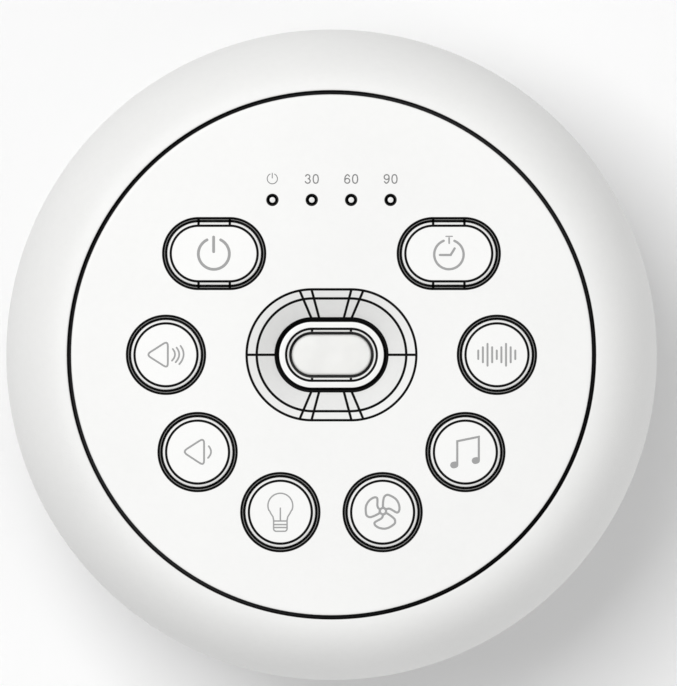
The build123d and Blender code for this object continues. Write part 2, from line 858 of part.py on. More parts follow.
def board_part(name, places, length, width, height):
    """Make equal box-shaped components on the underside of the control board."""
    with BuildPart() as component:
        with BuildSketch(Plane.XY.offset(board_bottom)):
            with Locations(*places):
                Rectangle(length, width)
        extrude(amount=-height)
        chamfer(component.edges().filter_by(Axis.Z), component_corner)
    save(component, name)


connector_circle_radius = (
    board_screw_circle_radius - screw_head_radius - connector_screw_gap - connector_length / 2
)
speaker_connector = (-connector_circle_radius, 0)
power_connector = (0, connector_circle_radius)
connectors = [speaker_connector, power_connector]

board_part("sound_chip", [(chip_x, chip_y)], sound_chip_side, sound_chip_side, chip_height)
board_part("amplifier_chip", [(-chip_x, chip_y)], amplifier_chip_length, amplifier_chip_width, chip_height)
board_part("board_connectors", connectors, connector_length, connector_length, connector_height)

with BuildPart() as capacitors:
    with BuildSketch(Plane.XY.offset(board_bottom)):
        with PolarLocations(
            capacitor_circle_radius,
            capacitor_count,
            start_angle=-capacitor_spread / 2,
            angular_range=capacitor_spread,
            endpoint=True,
        ):
            Circle(capacitor_radius)
    extrude(amount=-capacitor_height)
save(capacitors, "capacitors")

# ---------------------------------------------------------------------------
# Loudspeaker, which looks down through the baffle
# ---------------------------------------------------------------------------

speaker_screw_places = PolarLocations(
    speaker_screw_circle_radius, baffle_screw_count, start_angle=foot_start
)
flange_depth = flange_thickness + rebate_depth
speaker_boss_drop = screw_bite - flange_depth - baffle_thickness + 2 * screw_clearance
jack_wall_face = pad_y - seat_clearance
jack_board_depth = dc_body_depth + jack_board_margin
jack_board_front = jack_wall_face - jack_board_depth
jack_screw_x = jack_spacing / 2 + dc_body_width / 2 + jack_screw_gap + screw_head_radius
jack_screw_y = jack_board_front + boss_radius
jack_post_places = [(-jack_screw_x, jack_screw_y), (jack_screw_x, jack_screw_y)]

with BuildPart() as speaker_baffle:
    with BuildSketch(Plane.XY.offset(baffle_bottom)):
        Circle(baffle_radius)
    extrude(amount=baffle_thickness)
    with BuildSketch(Plane.XY.offset(baffle_bottom)):
        with foot_places:
            Circle(boss_radius)
    extrude(amount=base_post_top - baffle_bottom)
    with BuildSketch(Plane.XY.offset(baffle_bottom)):
        with speaker_screw_places:
            Circle(boss_radius)
    extrude(amount=-speaker_boss_drop)
    with BuildSketch(Plane.XY.offset(baffle_top)):
        with Locations(*jack_post_places):
            Circle(boss_radius)
    extrude(amount=jack_board_bottom - baffle_top)
    with BuildSketch(Plane.XY.offset(baffle_top)):
        Circle(cone_opening_radius)
        with baffle_screw_places:
            Circle(screw_hole_radius)
    extrude(amount=-baffle_thickness, mode=Mode.SUBTRACT)
    with BuildSketch(Plane.XY.offset(base_post_top)):
        with foot_places:
            Circle(screw_hole_radius)
    extrude(amount=screw_bite + screw_clearance, mode=Mode.SUBTRACT)
    with BuildSketch(Plane.XY.offset(baffle_top)):
        with speaker_screw_places:
            Circle(screw_hole_radius)
    extrude(amount=-baffle_thickness - speaker_boss_drop, mode=Mode.SUBTRACT)
    with BuildSketch(Plane.XY.offset(jack_board_bottom)):
        with Locations(*jack_post_places):
            Circle(screw_hole_radius)
    extrude(amount=baffle_bottom - jack_board_bottom, mode=Mode.SUBTRACT)
save(speaker_baffle, "speaker_baffle")

baffle_screw = screw(baffle_thickness + screw_bite - screw_clearance)
with BuildPart(Plane.XY.offset(baffle_bottom)) as baffle_screws:
    with baffle_screw_places:
        add(baffle_screw)
save(baffle_screws, "baffle_screws")

speaker_screw = screw(screw_bite, points_up=False)
with BuildPart(Plane.XY.offset(basket_flange_top)) as speaker_screws:
    with speaker_screw_places:
        add(speaker_screw)
save(speaker_screws, "speaker_screws")

with BuildPart() as speaker_gasket:
    with BuildSketch(Plane.XY.offset(baffle_top)):
        Circle(rebate_radius - seat_clearance)
        Circle(rebate_radius - gasket_radial, mode=Mode.SUBTRACT)
    extrude(amount=speaker_gasket_thickness)
save(speaker_gasket, "speaker_gasket")

with BuildPart() as speaker_basket:
    with BuildSketch(Plane.XZ):
        with BuildLine():
            Polyline(
                (speaker_radius, baffle_top),
                (speaker_radius, basket_flange_top),
                (cone_opening_radius, basket_flange_top),
                (basket_shelf_radius + basket_wall, shelf_z),
                (basket_shelf_radius + basket_wall, shelf_z + basket_wall),
                (basket_neck_radius + basket_wall, shelf_z + basket_wall),
                (basket_neck_radius + basket_wall, plate_bottom),
                (plate_hole_radius, plate_bottom),
                (plate_hole_radius, plate_bottom - basket_wall),
                (basket_neck_radius, plate_bottom - basket_wall),
                (basket_neck_radius, shelf_z),
                (basket_shelf_radius, shelf_z),
                (cone_opening_radius - basket_wall, basket_flange_bottom),
                (rebate_radius, basket_flange_bottom),
                (rebate_radius, baffle_top),
                close=True,
            )
        make_face()
    revolve(axis=Axis.Z)
    with BuildSketch(Plane.XY.offset(basket_flange_top + basket_wall / 2)):
        with PolarLocations((cone_opening_radius + basket_shelf_radius) / 2, basket_window_count):
            RectangleRounded(basket_window_radial, basket_window_width, basket_window_corner)
    extrude(amount=shelf_z - basket_flange_top - basket_wall, mode=Mode.SUBTRACT)
    with BuildSketch(Plane.XY.offset(basket_flange_top)):
        with Locations((-speaker_screw_circle_radius, 0)):
            Rectangle(terminal_radial, terminal_width)
    extrude(amount=terminal_height)
    with BuildSketch(Plane.XY.offset(basket_flange_top)):
        with speaker_screw_places:
            Circle(screw_hole_radius)
    extrude(amount=baffle_top - basket_flange_top, mode=Mode.SUBTRACT)
save(speaker_basket, "speaker_basket")

with BuildPart() as speaker_top_plate:
    with BuildSketch(Plane.XY.offset(plate_bottom)):
        Circle(top_plate_radius)
        Circle(plate_hole_radius, mode=Mode.SUBTRACT)
    extrude(amount=top_plate_thickness)
save(speaker_top_plate, "speaker_top_plate")

with BuildPart() as speaker_magnet:
    with BuildSketch(Plane.XY.offset(plate_top)):
        Circle(magnet_radius)
        Circle(magnet_hole_radius, mode=Mode.SUBTRACT)
    extrude(amount=magnet_thickness)
    chamfer(speaker_magnet.edges().filter_by(GeomType.CIRCLE).sort_by(SortBy.RADIUS)[-2:], basket_wall / 2)
save(speaker_magnet, "speaker_magnet")

with BuildPart() as speaker_yoke:
    with BuildSketch(Plane.XY.offset(magnet_top)):
        Circle(yoke_radius)
    extrude(amount=yoke_thickness)
    with BuildSketch(Plane.XY.offset(plate_bottom)):
        Circle(pole_radius)
    extrude(amount=magnet_top - plate_bottom)
save(speaker_yoke, "speaker_yoke")

# the moving parts: cone, dust cap and voice coil


def cone_front(radius):
    """Height of the cone's front face at a radius."""
    return surround_z + (cone_edge_radius - radius) * cone_slope


coil_outer_radius = coil_inner_radius + coil_wall
cone_slope = (coil_bottom - surround_z) / (cone_edge_radius - coil_outer_radius)

with BuildPart() as speaker_cone:
    with BuildSketch(Plane.XZ):
        with BuildLine():
            Polyline(
                (coil_outer_radius, cone_front(coil_outer_radius)),
                (cone_edge_radius, cone_front(cone_edge_radius)),
                (cone_edge_radius, cone_front(cone_edge_radius) + cone_thickness),
                (coil_outer_radius, cone_front(coil_outer_radius) + cone_thickness),
                close=True,
            )
        make_face()
    revolve(axis=Axis.Z)
save(speaker_cone, "speaker_cone")

with BuildPart() as speaker_dust_cap:
    with BuildSketch(Plane.XZ):
        with BuildLine():
            rim = (dust_cap_radius, cone_front(dust_cap_radius))
            apex = (0, cone_front(dust_cap_radius) - dust_cap_sag)
            TangentArc(apex, rim, tangent=(1, 0))
            Line(rim, (rim[0], rim[1] - dust_cap_thickness))
            TangentArc(
                (apex[0], apex[1] - dust_cap_thickness),
                (rim[0], rim[1] - dust_cap_thickness),
                tangent=(1, 0),
            )
            Line((apex[0], apex[1] - dust_cap_thickness), apex)
        make_face()
    revolve(axis=Axis.Z)
save(speaker_dust_cap, "speaker_dust_cap")

with BuildPart() as speaker_voice_coil:
    with BuildSketch(Plane.XY.offset(coil_bottom)):
        Circle(coil_outer_radius)
        Circle(coil_inner_radius, mode=Mode.SUBTRACT)
    extrude(amount=coil_length)
    with BuildSketch(Plane.XY.offset(coil_bottom + coil_length - winding_length)):
        Circle(coil_outer_radius + winding_thickness)
        Circle(coil_inner_radius, mode=Mode.SUBTRACT)
    extrude(amount=winding_length)
save(speaker_voice_coil, "speaker_voice_coil")

# the flexible supports: the outer roll and the corrugated spider

with BuildPart() as speaker_surround:
    roll_centre = cone_edge_radius + moving_gap + roll_radius
    with BuildSketch(Plane.XZ):
        with Locations((roll_centre, surround_z)):
            Circle(roll_radius)
            Circle(roll_radius - surround_thickness, mode=Mode.SUBTRACT)
            Rectangle(2 * roll_radius, roll_radius, align=(Align.CENTER, Align.MIN), mode=Mode.SUBTRACT)
        with Locations((roll_centre - roll_radius, surround_z)):
            Rectangle(surround_thickness, surround_thickness, align=Align.MIN)
        with Locations((roll_centre + roll_radius - surround_thickness, surround_z)):
            Rectangle(
                rebate_radius - glue_gap - roll_centre - roll_radius + surround_thickness,
                surround_thickness,
                align=Align.MIN,
            )
    revolve(axis=Axis.Z)
save(speaker_surround, "speaker_surround")

with BuildPart() as speaker_spider:
    spider_bottom = shelf_z - glue_gap - spider_thickness
    spider_inner = coil_outer_radius + moving_gap
    spider_outer = basket_shelf_radius - glue_gap
    with BuildSketch(Plane.XZ):
        with Locations((spider_inner, spider_bottom)):
            Rectangle(spider_outer - spider_inner, spider_thickness, align=Align.MIN)
        for wave in range(spider_wave_count):
            with Locations(
                (spider_inner + spider_wave_pitch * (wave + 0.5), spider_bottom + spider_thickness / 2)
            ):
                Circle(spider_wave_radius)
    revolve(axis=Axis.Z)
save(speaker_spider, "speaker_spider")

# ---------------------------------------------------------------------------
# Sockets in the rear
# ---------------------------------------------------------------------------

with BuildPart() as jack_board:
    with BuildSketch(Plane.XY.offset(jack_board_bottom)) as jack_board_outline:
        with Locations((0, jack_board_front)):
            Rectangle(2 * (jack_screw_x + boss_radius), jack_board_depth, align=(Align.CENTER, Align.MIN))
        chamfer(jack_board_outline.vertices().group_by(Axis.Y)[-1], jack_board_corner)
        with Locations(*jack_post_places):
            Circle(screw_hole_radius, mode=Mode.SUBTRACT)
    extrude(amount=board_thickness)
save(jack_board, "jack_board")

jack_screw = screw(board_thickness + jack_board_bottom - baffle_bottom, points_up=False)
with BuildPart(Plane.XY.offset(jack_board_top)) as jack_screws:
    with Locations(*jack_post_places):
        add(jack_screw)
save(jack_screws, "jack_screws")


def socket(name, x, width, depth, collar_radius, bore_radius, bore_depth):
    """Make a socket: a body on the board and a round collar that comes out through the wall."""
    with BuildPart() as jack:
        with BuildSketch(Plane.XZ.offset(-jack_wall_face)):
            with Locations((x, jack_height)):
                Rectangle(width, jack_body_height)
        extrude(amount=depth)
        chamfer(jack.edges().filter_by(Axis.Y), component_corner)
        with BuildSketch(Plane.XZ.offset(-jack_wall_face)):
            with Locations((x, jack_height)):
                Circle(collar_radius)
        extrude(amount=jack_wall_face - pocket_y)
        with BuildSketch(Plane.XZ.offset(-pocket_y)):
            with Locations((x, jack_height)):
                Circle(bore_radius)
        extrude(amount=bore_depth, mode=Mode.SUBTRACT)
    save(jack, name)


socket(
    "dc_jack",
    -jack_spacing / 2,
    dc_body_width,
    dc_body_depth,
    dc_collar_radius,
    dc_bore_radius,
    dc_bore_depth,
)
socket(
    "audio_jack",
    jack_spacing / 2,
    audio_body_width,
    audio_body_depth,
    audio_collar_radius,
    audio_bore_radius,
    audio_bore_depth,
)

with BuildPart() as dc_jack_pin:
    with BuildSketch(Plane.XZ.offset(dc_bore_depth - pocket_y)):
        with Locations((-jack_spacing / 2, jack_height)):
            Circle(dc_pin_radius)
    extrude(amount=-dc_pin_length)
    fillet(dc_jack_pin.faces().sort_by(Axis.Y)[-1].edges(), dc_pin_radius / 2)
save(dc_jack_pin, "dc_jack_pin")

# ---------------------------------------------------------------------------
# Wires inside
# ---------------------------------------------------------------------------


def bend_radii(points):
    """Give each inner point of a route the largest arc that its two runs allow."""
    radii = []
    for before, here, after in zip(points, points[1:], points[2:]):
        run_in = Vector(*here) - Vector(*before)
        run_out = Vector(*after) - Vector(*here)
        half_turn = radians(run_in.get_angle(run_out) / 2)
        radii.append(wire_bend * min(run_in.length, run_out.length) / tan(half_turn))
    return radii


def wires(name, routes):
    """Make round wires along routes that start upright and end upright, one solid for each route."""
    with BuildPart() as bundle:
        for points in routes:
            radii = bend_radii(points)
            with BuildLine():
                route = FilletPolyline(*points, radius=radii)
            with BuildSketch(Plane(origin=points[0], z_dir=(0, 0, 1))):
                Circle(wire_radius)
            sweep(path=route)
            print(name, "length", round(route.length, 1), "bends", [round(radius, 1) for radius in radii])
    save(bundle, name)


wire_rise = (connector_bottom - basket_flange_top - terminal_height) / 3
terminal_top = basket_flange_top + terminal_height

speaker_routes = [
    [
        (-speaker_screw_circle_radius, side, terminal_top),
        (-speaker_screw_circle_radius, side, terminal_top + wire_rise),
        (speaker_connector[0], side, connector_bottom - wire_rise),
        (speaker_connector[0], side, connector_bottom),
    ]
    for side in (-wire_pitch / 2, wire_pitch / 2)
]
wires("speaker_leads", speaker_routes)

power_rise = (connector_bottom - jack_board_top) / 3
power_start = jack_wall_face - dc_body_depth + wire_pitch
power_routes = [
    [
        (side, power_start, jack_board_top),
        (side, power_start, jack_board_top + power_rise),
        (side, power_connector[1], connector_bottom - power_rise),
        (side, power_connector[1], connector_bottom),
    ]
    for side in (-wire_pitch, 0, wire_pitch)
]
wires("power_leads", power_routes)
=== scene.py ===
# %% [markdown]
# # Dressing a white noise machine
# The solids of this machine come packed as a fixed frame. This notebook dresses them: the visible shells
# and buttons are made again as smooth numpy surfaces, the printed symbols are added, and every part gets a
# finish. The frame is loaded first, because each new surface is placed by the box of the part it stands for.

# %% Load the frame
import json
import math

import bmesh
import bpy
import numpy as np
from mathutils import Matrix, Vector
from mathutils.geometry import delaunay_2d_cdt


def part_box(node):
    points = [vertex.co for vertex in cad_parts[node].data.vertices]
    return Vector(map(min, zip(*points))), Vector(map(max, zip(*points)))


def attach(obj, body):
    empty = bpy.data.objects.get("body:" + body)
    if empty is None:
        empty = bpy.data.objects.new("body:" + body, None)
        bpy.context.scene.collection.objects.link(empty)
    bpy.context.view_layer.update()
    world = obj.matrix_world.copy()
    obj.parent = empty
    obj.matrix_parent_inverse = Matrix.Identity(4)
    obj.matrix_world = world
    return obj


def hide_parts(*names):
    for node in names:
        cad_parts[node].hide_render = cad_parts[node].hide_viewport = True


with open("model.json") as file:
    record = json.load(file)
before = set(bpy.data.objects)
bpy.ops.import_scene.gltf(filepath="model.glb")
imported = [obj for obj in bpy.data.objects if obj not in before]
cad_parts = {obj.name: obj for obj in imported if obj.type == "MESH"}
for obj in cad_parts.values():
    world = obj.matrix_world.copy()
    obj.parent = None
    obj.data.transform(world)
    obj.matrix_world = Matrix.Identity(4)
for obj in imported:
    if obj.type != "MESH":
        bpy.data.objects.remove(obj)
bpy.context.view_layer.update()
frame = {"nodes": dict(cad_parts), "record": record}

MM = 0.001

# %% [markdown]
# ## The camera
# The machine is looked at from straight above, so that every circle stays a circle. A very long lens far
# away keeps the outline of the side and the outline of the panel at nearly one scale. The view is 126 mm
# high at the panel, and its middle lies a little to the right of and behind the machine's own middle.

# %% Camera
PIXELS_PER_MM = 5.443
VIEW_WIDTH_PX, VIEW_HEIGHT_PX = 677, 686
AXIS_PX = (331.49, 354.81)  # where the machine's axis lies in the view, from its upper left corner
LENS, SENSOR = 1500.0, 36.0


def make_camera():
    """Look straight down from the distance at which the long side of the sensor spans the view's height."""
    data = bpy.data.cameras.new("camera")
    data.lens, data.sensor_width = LENS, SENSOR
    view_height = VIEW_HEIGHT_PX / PIXELS_PER_MM * MM
    distance = view_height * LENS / SENSOR
    data.clip_start, data.clip_end = distance / 10, distance * 3
    camera = bpy.data.objects.new("camera", data)
    camera.location = (
        (VIEW_WIDTH_PX / 2 - AXIS_PX[0]) / PIXELS_PER_MM * MM,
        (AXIS_PX[1] - VIEW_HEIGHT_PX / 2) / PIXELS_PER_MM * MM,
        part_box("top_panel")[1][2] + distance,
    )
    bpy.context.collection.objects.link(camera)
    bpy.context.scene.camera = camera
    return distance


print("camera distance", round(make_camera(), 3), "m")

# %% [markdown]
# ## Surfaces as arrays
# Nearly everything on this machine is one idea: an outline, and a profile that is carried round it. The
# outline is a circle or a stadium, which is two half circles joined by straight sides. The profile says how
# far out from the outline the surface lies, and how high. One grid function makes the mesh of them all.

# %% Outlines, profiles and grids


def outline(radius, straight=0.0, count=96):
    """Points of a stadium or a circle, as (count, 2).

    The angle runs once round. Each point is the centre of its half circle, half the straight length to the
    right or left, plus the radius times the direction of the angle.
    """
    half = count // 2
    if straight == 0:
        angle = np.arange(count) * 2 * np.pi / count
        middle = np.zeros(count)
    else:
        right = np.linspace(-np.pi / 2, np.pi / 2, half)
        angle = np.concatenate([right, right + np.pi])
        middle = np.repeat([straight / 2, -straight / 2], half)
    return np.stack([middle + radius * np.cos(angle), radius * np.sin(angle)], axis=1)


def carry(profile, radius, straight=0.0, centre=(0.0, 0.0), count=96):
    """Grid of a profile carried round an outline, as (profile, outline, 3).

    Row i of the profile is (offset, height): that row is the outline with its radius grown by the offset,
    lifted to the height. A third number in a row lengthens the straight sides there.
    """
    rows = []
    for offset, height, *longer in profile:
        flat = outline(max(radius + offset, 0.0), straight + sum(longer), count) + centre
        rows.append(np.column_stack([flat, np.full(count, height)]))
    return np.array(rows)


def arc(centre, radius, start, end, count=6):
    """Points of an arc in a profile, between two angles in degrees.

    Each is the centre plus the radius times the direction of its angle.
    """
    angle = np.radians(np.linspace(start, end, count))
    return [(centre[0] + radius * math.cos(a), centre[1] + radius * math.sin(a)) for a in angle]


def quads(grid, loop=True):
    """Vertices and faces of a grid: each face joins a point, its neighbour along and the two above them."""
    rows, columns = grid.shape[:2]
    index = np.arange(rows * columns).reshape(rows, columns)
    along = np.roll(index, -1, axis=1) if loop else index[:, 1:]
    here = index if loop else index[:, :-1]
    faces = np.stack([here[:-1], along[:-1], along[1:], here[1:]], axis=-1).reshape(-1, 4)
    return grid.reshape(-1, 3), faces.tolist()


print("a stadium of 8 points", outline(1.0, 2.0, 8).round(2).tolist())

# %% [markdown]
# ## Flat faces with holes
# The top of the panel is the one kind of face that isn't a grid. Its holes could be cut with Booleans, but
# those leave one face with hundreds of corners. Here the outlines of the face and of its holes are joined
# into triangles, which use exactly the outlines' points, so the walls of the holes weld to them.

# %% Plates
NEAR = 1e-9  # points of a plate closer than this count as one


def inside(points, loop):
    """Which points lie in a closed loop, by the even and odd count of edges crossed to their right."""
    ax, ay = loop[:, 0], loop[:, 1]
    bx, by = np.roll(ax, -1), np.roll(ay, -1)
    px, py = points[:, :1], points[:, 1:]
    spans = (ay > py) != (by > py)
    rise = np.where(by == ay, 1.0, by - ay)
    crossing = ax + (py - ay) * (bx - ax) / rise
    return (spans & (px < crossing)).sum(axis=1) % 2 == 1


def plate(loops, height):
    """A flat face with holes: the first loop is its edge and the others are its holes.

    The loops are joined into triangles by a constrained Delaunay triangulation, and the triangles whose
    middle lies in a hole are left out.
    """
    points, edges, start = [], [], 0
    for loop in loops:
        count = len(loop)
        points += [Vector(point) for point in loop]
        edges += [(start + i, start + (i + 1) % count) for i in range(count)]
        start += count
    made = delaunay_2d_cdt(points, edges, [], 0, NEAR)
    flat = np.array([tuple(point) for point in made[0]])
    faces = [list(face) for face in made[2]]
    middles = np.array([flat[face].mean(axis=0) for face in faces])
    keep = inside(middles, loops[0])
    for loop in loops[1:]:
        keep &= ~inside(middles, loop)
    kept = [face for face, good in zip(faces, keep) if good]
    return np.column_stack([flat, np.full(len(flat), height)]), kept


square = np.array([(0.0, 0.0), (1.0, 0.0), (1.0, 1.0), (0.0, 1.0)])
print("faces of a square plate with a square hole", len(plate([square * 3, square + 1], 0.0)[1]))

# %% [markdown]
# ## From arrays to pieces
# Grids and plates meet at points that they share. Welding those points makes one closed mesh, whose faces
# can be turned outwards. Smooth shading runs over gentle turns and stops at sharp edges, so a moulded edge
# needs only a few rows. Each piece rides on a body, and one that stands for a solid says which.

# %% Pieces from grids
WELD = 1e-6  # metres between points that are joined into one
SHARP = math.radians(32)  # edges that turn more than this are not smoothed


def piece(name, parts, body, node=None):
    """Weld grids and plates into one closed mesh, turn it outwards and let it ride on a body."""
    points, faces = [], []
    for vertices, corners in parts:
        first = sum(len(block) for block in points)
        points.append(np.asarray(vertices) * MM)
        faces += [[corner + first for corner in face] for face in corners]
    mesh = bpy.data.meshes.new(name)
    mesh.from_pydata(np.concatenate(points).tolist(), [], faces)
    shape = bmesh.new()
    shape.from_mesh(mesh)
    bmesh.ops.remove_doubles(shape, verts=shape.verts, dist=WELD)
    bmesh.ops.dissolve_degenerate(shape, edges=shape.edges, dist=WELD / 10)
    bmesh.ops.recalc_face_normals(shape, faces=shape.faces)
    shape.to_mesh(mesh)
    shape.free()
    mesh.shade_smooth()
    mesh.set_sharp_from_angle(angle=SHARP)
    made = bpy.data.objects.new(name, mesh)
    bpy.context.collection.objects.link(made)
    if body:
        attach(made, body)
    if node:
        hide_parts(node)
    print(name, len(mesh.polygons), "faces")
    return made


# %% [markdown]
# ## The sizes of the machine
# The dressing follows the solids, so it needs the same few sizes, in millimetres. Heights come from the
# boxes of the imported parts. The side is an arc that bulges, and the shoulder above it is a quarter ellipse
# that ends level with the control panel, so no edge shows between the side and the panel's groove.

# %% Sizes in millimetres


def low_high(node):
    """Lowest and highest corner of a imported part, in millimetres."""
    low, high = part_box(node)
    return np.array(low) / MM, np.array(high) / MM


BODY_RADIUS, WIDEST, SIDE_CURVE = 60.0, 44.0, 129.5
SEAM_BEVEL = 0.3  # on the edge of the shell that meets the ring of slots
PANEL_RADIUS, OPENING, WALL, LIP = 47.94, 48.54, 2.4, 0.4
LEDGE_TOP, PANEL_BOTTOM = [corner[2] for corner in low_high("panel_gasket")]  # the seal lies between them
PANEL_THICK, LEDGE_THICK, LEDGE_RADIUS = 2.4, 2.0, 45.59
PANEL_TOP = PANEL_BOTTOM + PANEL_THICK
SHELL_BOTTOM = low_high("upper_shell")[0][2]
BASE_RIM = 6.0
GRILLE_BOTTOM = low_high("base_plate")[0][2] + BASE_RIM
BUTTON_TOP = low_high("light_button")[1][2]
ROUND_POINTS = 192  # points round the shell and the panel


def side_radius(height, inset=0.0):
    """Radius of the bulging side: the side's circle cut at a height, or the circle inset from it."""
    return BODY_RADIUS - SIDE_CURVE + np.sqrt((SIDE_CURVE - inset) ** 2 - (WIDEST - height) ** 2)


def side(start, end, inset=0.0, count=16):
    """Profile of the side between two heights."""
    heights = np.linspace(start, end, count)
    return [(side_radius(height, inset), height) for height in heights]


def shoulder(start, end, inset=0.0, count=28):
    """Profile of the elliptical shoulder between two angles, 0 at the widest ring and 90 at the panel."""
    angle = np.radians(np.linspace(start, end, count))
    across, up = BODY_RADIUS - OPENING - inset, PANEL_TOP - WIDEST - inset
    return [(OPENING + across * math.cos(a), WIDEST + up * math.sin(a)) for a in angle]


print("panel at", round(PANEL_TOP, 2), "buttons at", round(BUTTON_TOP, 2))

# %% [markdown]
# ## The upper shell
# The real shell is one injection moulding: an even wall, a smooth shoulder and a lip that the panel drops
# into. It is one closed profile turned round the axis. The recess for the sockets and their two holes are
# all that breaks the turned shape, so they are cut with a Boolean, the way the mould has a slide there.

# %% Upper shell
JACK_HEIGHT, JACK_SPACING = 34.0, 18.0
POCKET_WIDTH, POCKET_HEIGHT, POCKET_DEPTH = 36.0, 14.0, 2.0
POCKET_Y = side_radius(JACK_HEIGHT) - POCKET_DEPTH
POWER_HOLE, AUDIO_HOLE, SOCKET_REACH = 4.55, 3.35, 8.0  # the holes run this far inwards
SHOULDER_END = 88  # degrees: the lip's own rounding does the rest


def rearwards(grid, x, height):
    """Turn a grid made round the Z axis so that its axis runs along +Y, at that x and height."""
    return np.stack([grid[..., 0] + x, grid[..., 2], height - grid[..., 1]], axis=-1)


def cut(target, parts):
    """Subtract closed grids from a piece and keep the result as its mesh."""
    tool = piece("cutter", parts, None)
    knife = target.modifiers.new("cut", "BOOLEAN")
    knife.object, knife.solver, knife.operation = tool, "EXACT", "DIFFERENCE"
    ready = target.evaluated_get(bpy.context.evaluated_depsgraph_get())
    target.data = bpy.data.meshes.new_from_object(ready)
    target.modifiers.clear()
    bpy.data.objects.remove(tool)
    target.data.shade_smooth()
    target.data.set_sharp_from_angle(angle=SHARP)


def prism(radius, straight, low, high, x, count=64):
    """Closed stadium prism along +Y between two depths, for cutting."""
    profile = [(-radius, low), (0, low), (0, high), (-radius, high)]
    return quads(rearwards(carry(profile, radius, straight, count=count), x, JACK_HEIGHT))


def upper_shell():
    """Turn the shell's closed profile and cut the recess and the two socket holes."""
    lip_centre = (OPENING + LIP, PANEL_TOP - LIP)
    ledge_bottom = LEDGE_TOP - LEDGE_THICK
    inner_angle = math.degrees(math.asin((ledge_bottom - WIDEST) / (PANEL_TOP - WIDEST - WALL)))
    profile = [(side_radius(SHELL_BOTTOM) - SEAM_BEVEL, SHELL_BOTTOM)]
    profile += side(SHELL_BOTTOM + SEAM_BEVEL, WIDEST)
    profile += shoulder(0, SHOULDER_END)[1:] + arc(lip_centre, LIP, 90, 180)
    profile += [(OPENING, LEDGE_TOP), (LEDGE_RADIUS, LEDGE_TOP), (LEDGE_RADIUS, ledge_bottom)]
    profile += shoulder(inner_angle, 0, WALL) + side(WIDEST, SHELL_BOTTOM, WALL)[1:]
    profile.append(profile[0])
    shell = piece("shell_skin", [quads(carry(profile, 0, count=ROUND_POINTS))], None)
    pocket_end, outside = POCKET_HEIGHT / 2, BODY_RADIUS + POCKET_DEPTH
    cut(shell, [prism(pocket_end, POCKET_WIDTH - POCKET_HEIGHT, POCKET_Y, outside, 0)])
    for hole, x in ((POWER_HOLE, -JACK_SPACING / 2), (AUDIO_HOLE, JACK_SPACING / 2)):
        cut(shell, [prism(hole, 0, POCKET_Y - SOCKET_REACH, BODY_RADIUS, x)])
    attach(shell, "housing")
    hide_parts("upper_shell")
    return shell


shell_skin = upper_shell()

# %% [markdown]
# ## The control panel
# The panel is a flat disc with twelve round and long holes and a dish in the middle. The flat faces are
# plates with holes, and everything that leaves a flat face is a profile carried round that hole's outline:
# the chamfer and wall of a button hole, the small wall of an indicator window, and the two slopes of the
# dish. All of them share the outline's points, so the parts weld into one closed solid.

# %% Panel sizes
BUTTON_CIRCLE, BUTTON_STEP, BUTTON_RADIUS = 30.4, 36.0, 6.4
LONG_X, LONG_Y, LONG_RADIUS, LONG_STRAIGHT = 21.55, 18.6, 5.73, 5.74
BUTTON_GAP, BUTTON_CHAMFER = 0.36, 0.45
INDICATOR_Y, INDICATOR_PITCH, INDICATOR_HOLE = 28.46, 7.235, 1.07
DISH_STRAIGHT, DISH_RIM, DISH_HOLE = 7.14, 12.02, 6.7
DISH_FACET, FACET_STRAIGHT = 10.36, 6.75  # where the shallow slope turns into the steep one
FACET_DEPTH, DISH_DEPTH = 1.0, 4.6
DISH_BOTTOM = PANEL_TOP - DISH_DEPTH
BEZEL_BOTTOM, BEZEL_FLANGE = low_high("light_bezel")[0][2], 1.0
BOWL_BOTTOM = BEZEL_BOTTOM + BEZEL_FLANGE
BOWL_WALL, RIM_BAND = 1.9, 0.4  # wall of the bowl, and a flat band that keeps a rim crisp
SOFT = 0.12  # rounding of moulded edges that look sharp
DISH_POINTS, LENS_POINTS, WINDOW_POINTS = 160, 128, 48

ROUND_NAMES = ["volume_up", "volume_down", "light", "fan", "music", "noise"]
LONG_NAMES = ["power", "timer"]
turn = np.radians(180 + BUTTON_STEP * np.arange(len(ROUND_NAMES)))
on_circle = BUTTON_CIRCLE * np.stack([np.cos(turn), np.sin(turn)], axis=1)
centres = dict(zip(ROUND_NAMES, on_circle))
centres["power"] = np.array([-LONG_X, LONG_Y])
centres["timer"] = np.array([LONG_X, LONG_Y])
shape_of = {name: (BUTTON_RADIUS, 0.0) for name in ROUND_NAMES}
shape_of.update({name: (LONG_RADIUS, LONG_STRAIGHT) for name in LONG_NAMES})
windows = [np.array([INDICATOR_PITCH * (i - 1.5), INDICATOR_Y]) for i in range(4)]
print("buttons", {name: centre.round(2).tolist() for name, centre in centres.items()})

# %% Soft corners


def soft_corner(before, corner, after, radius=SOFT, count=4):
    """Replace a corner of a profile by a short curve: the parabola between two points beside the corner."""
    corner = np.array(corner, float)
    start = corner + radius * unit(np.array(before) - corner)
    end = corner + radius * unit(np.array(after) - corner)
    t = np.linspace(0, 1, count)[:, None]
    curve = (1 - t) ** 2 * start + 2 * t * (1 - t) * corner + t**2 * end
    return [tuple(point) for point in curve]


def unit(vector):
    """The vector divided by its length."""
    return vector / np.linalg.norm(vector)


def softened(points):
    """A profile whose inner corners are all softened."""
    inner = [soft_corner(*points[i - 1 : i + 2]) for i in range(1, len(points) - 1)]
    return [points[0]] + [point for curve in inner for point in curve] + [points[-1]]


print("a softened corner", np.round(soft_corner((0, 1), (0, 0), (1, 0), 0.5, 3), 3).tolist())

# %% Panel


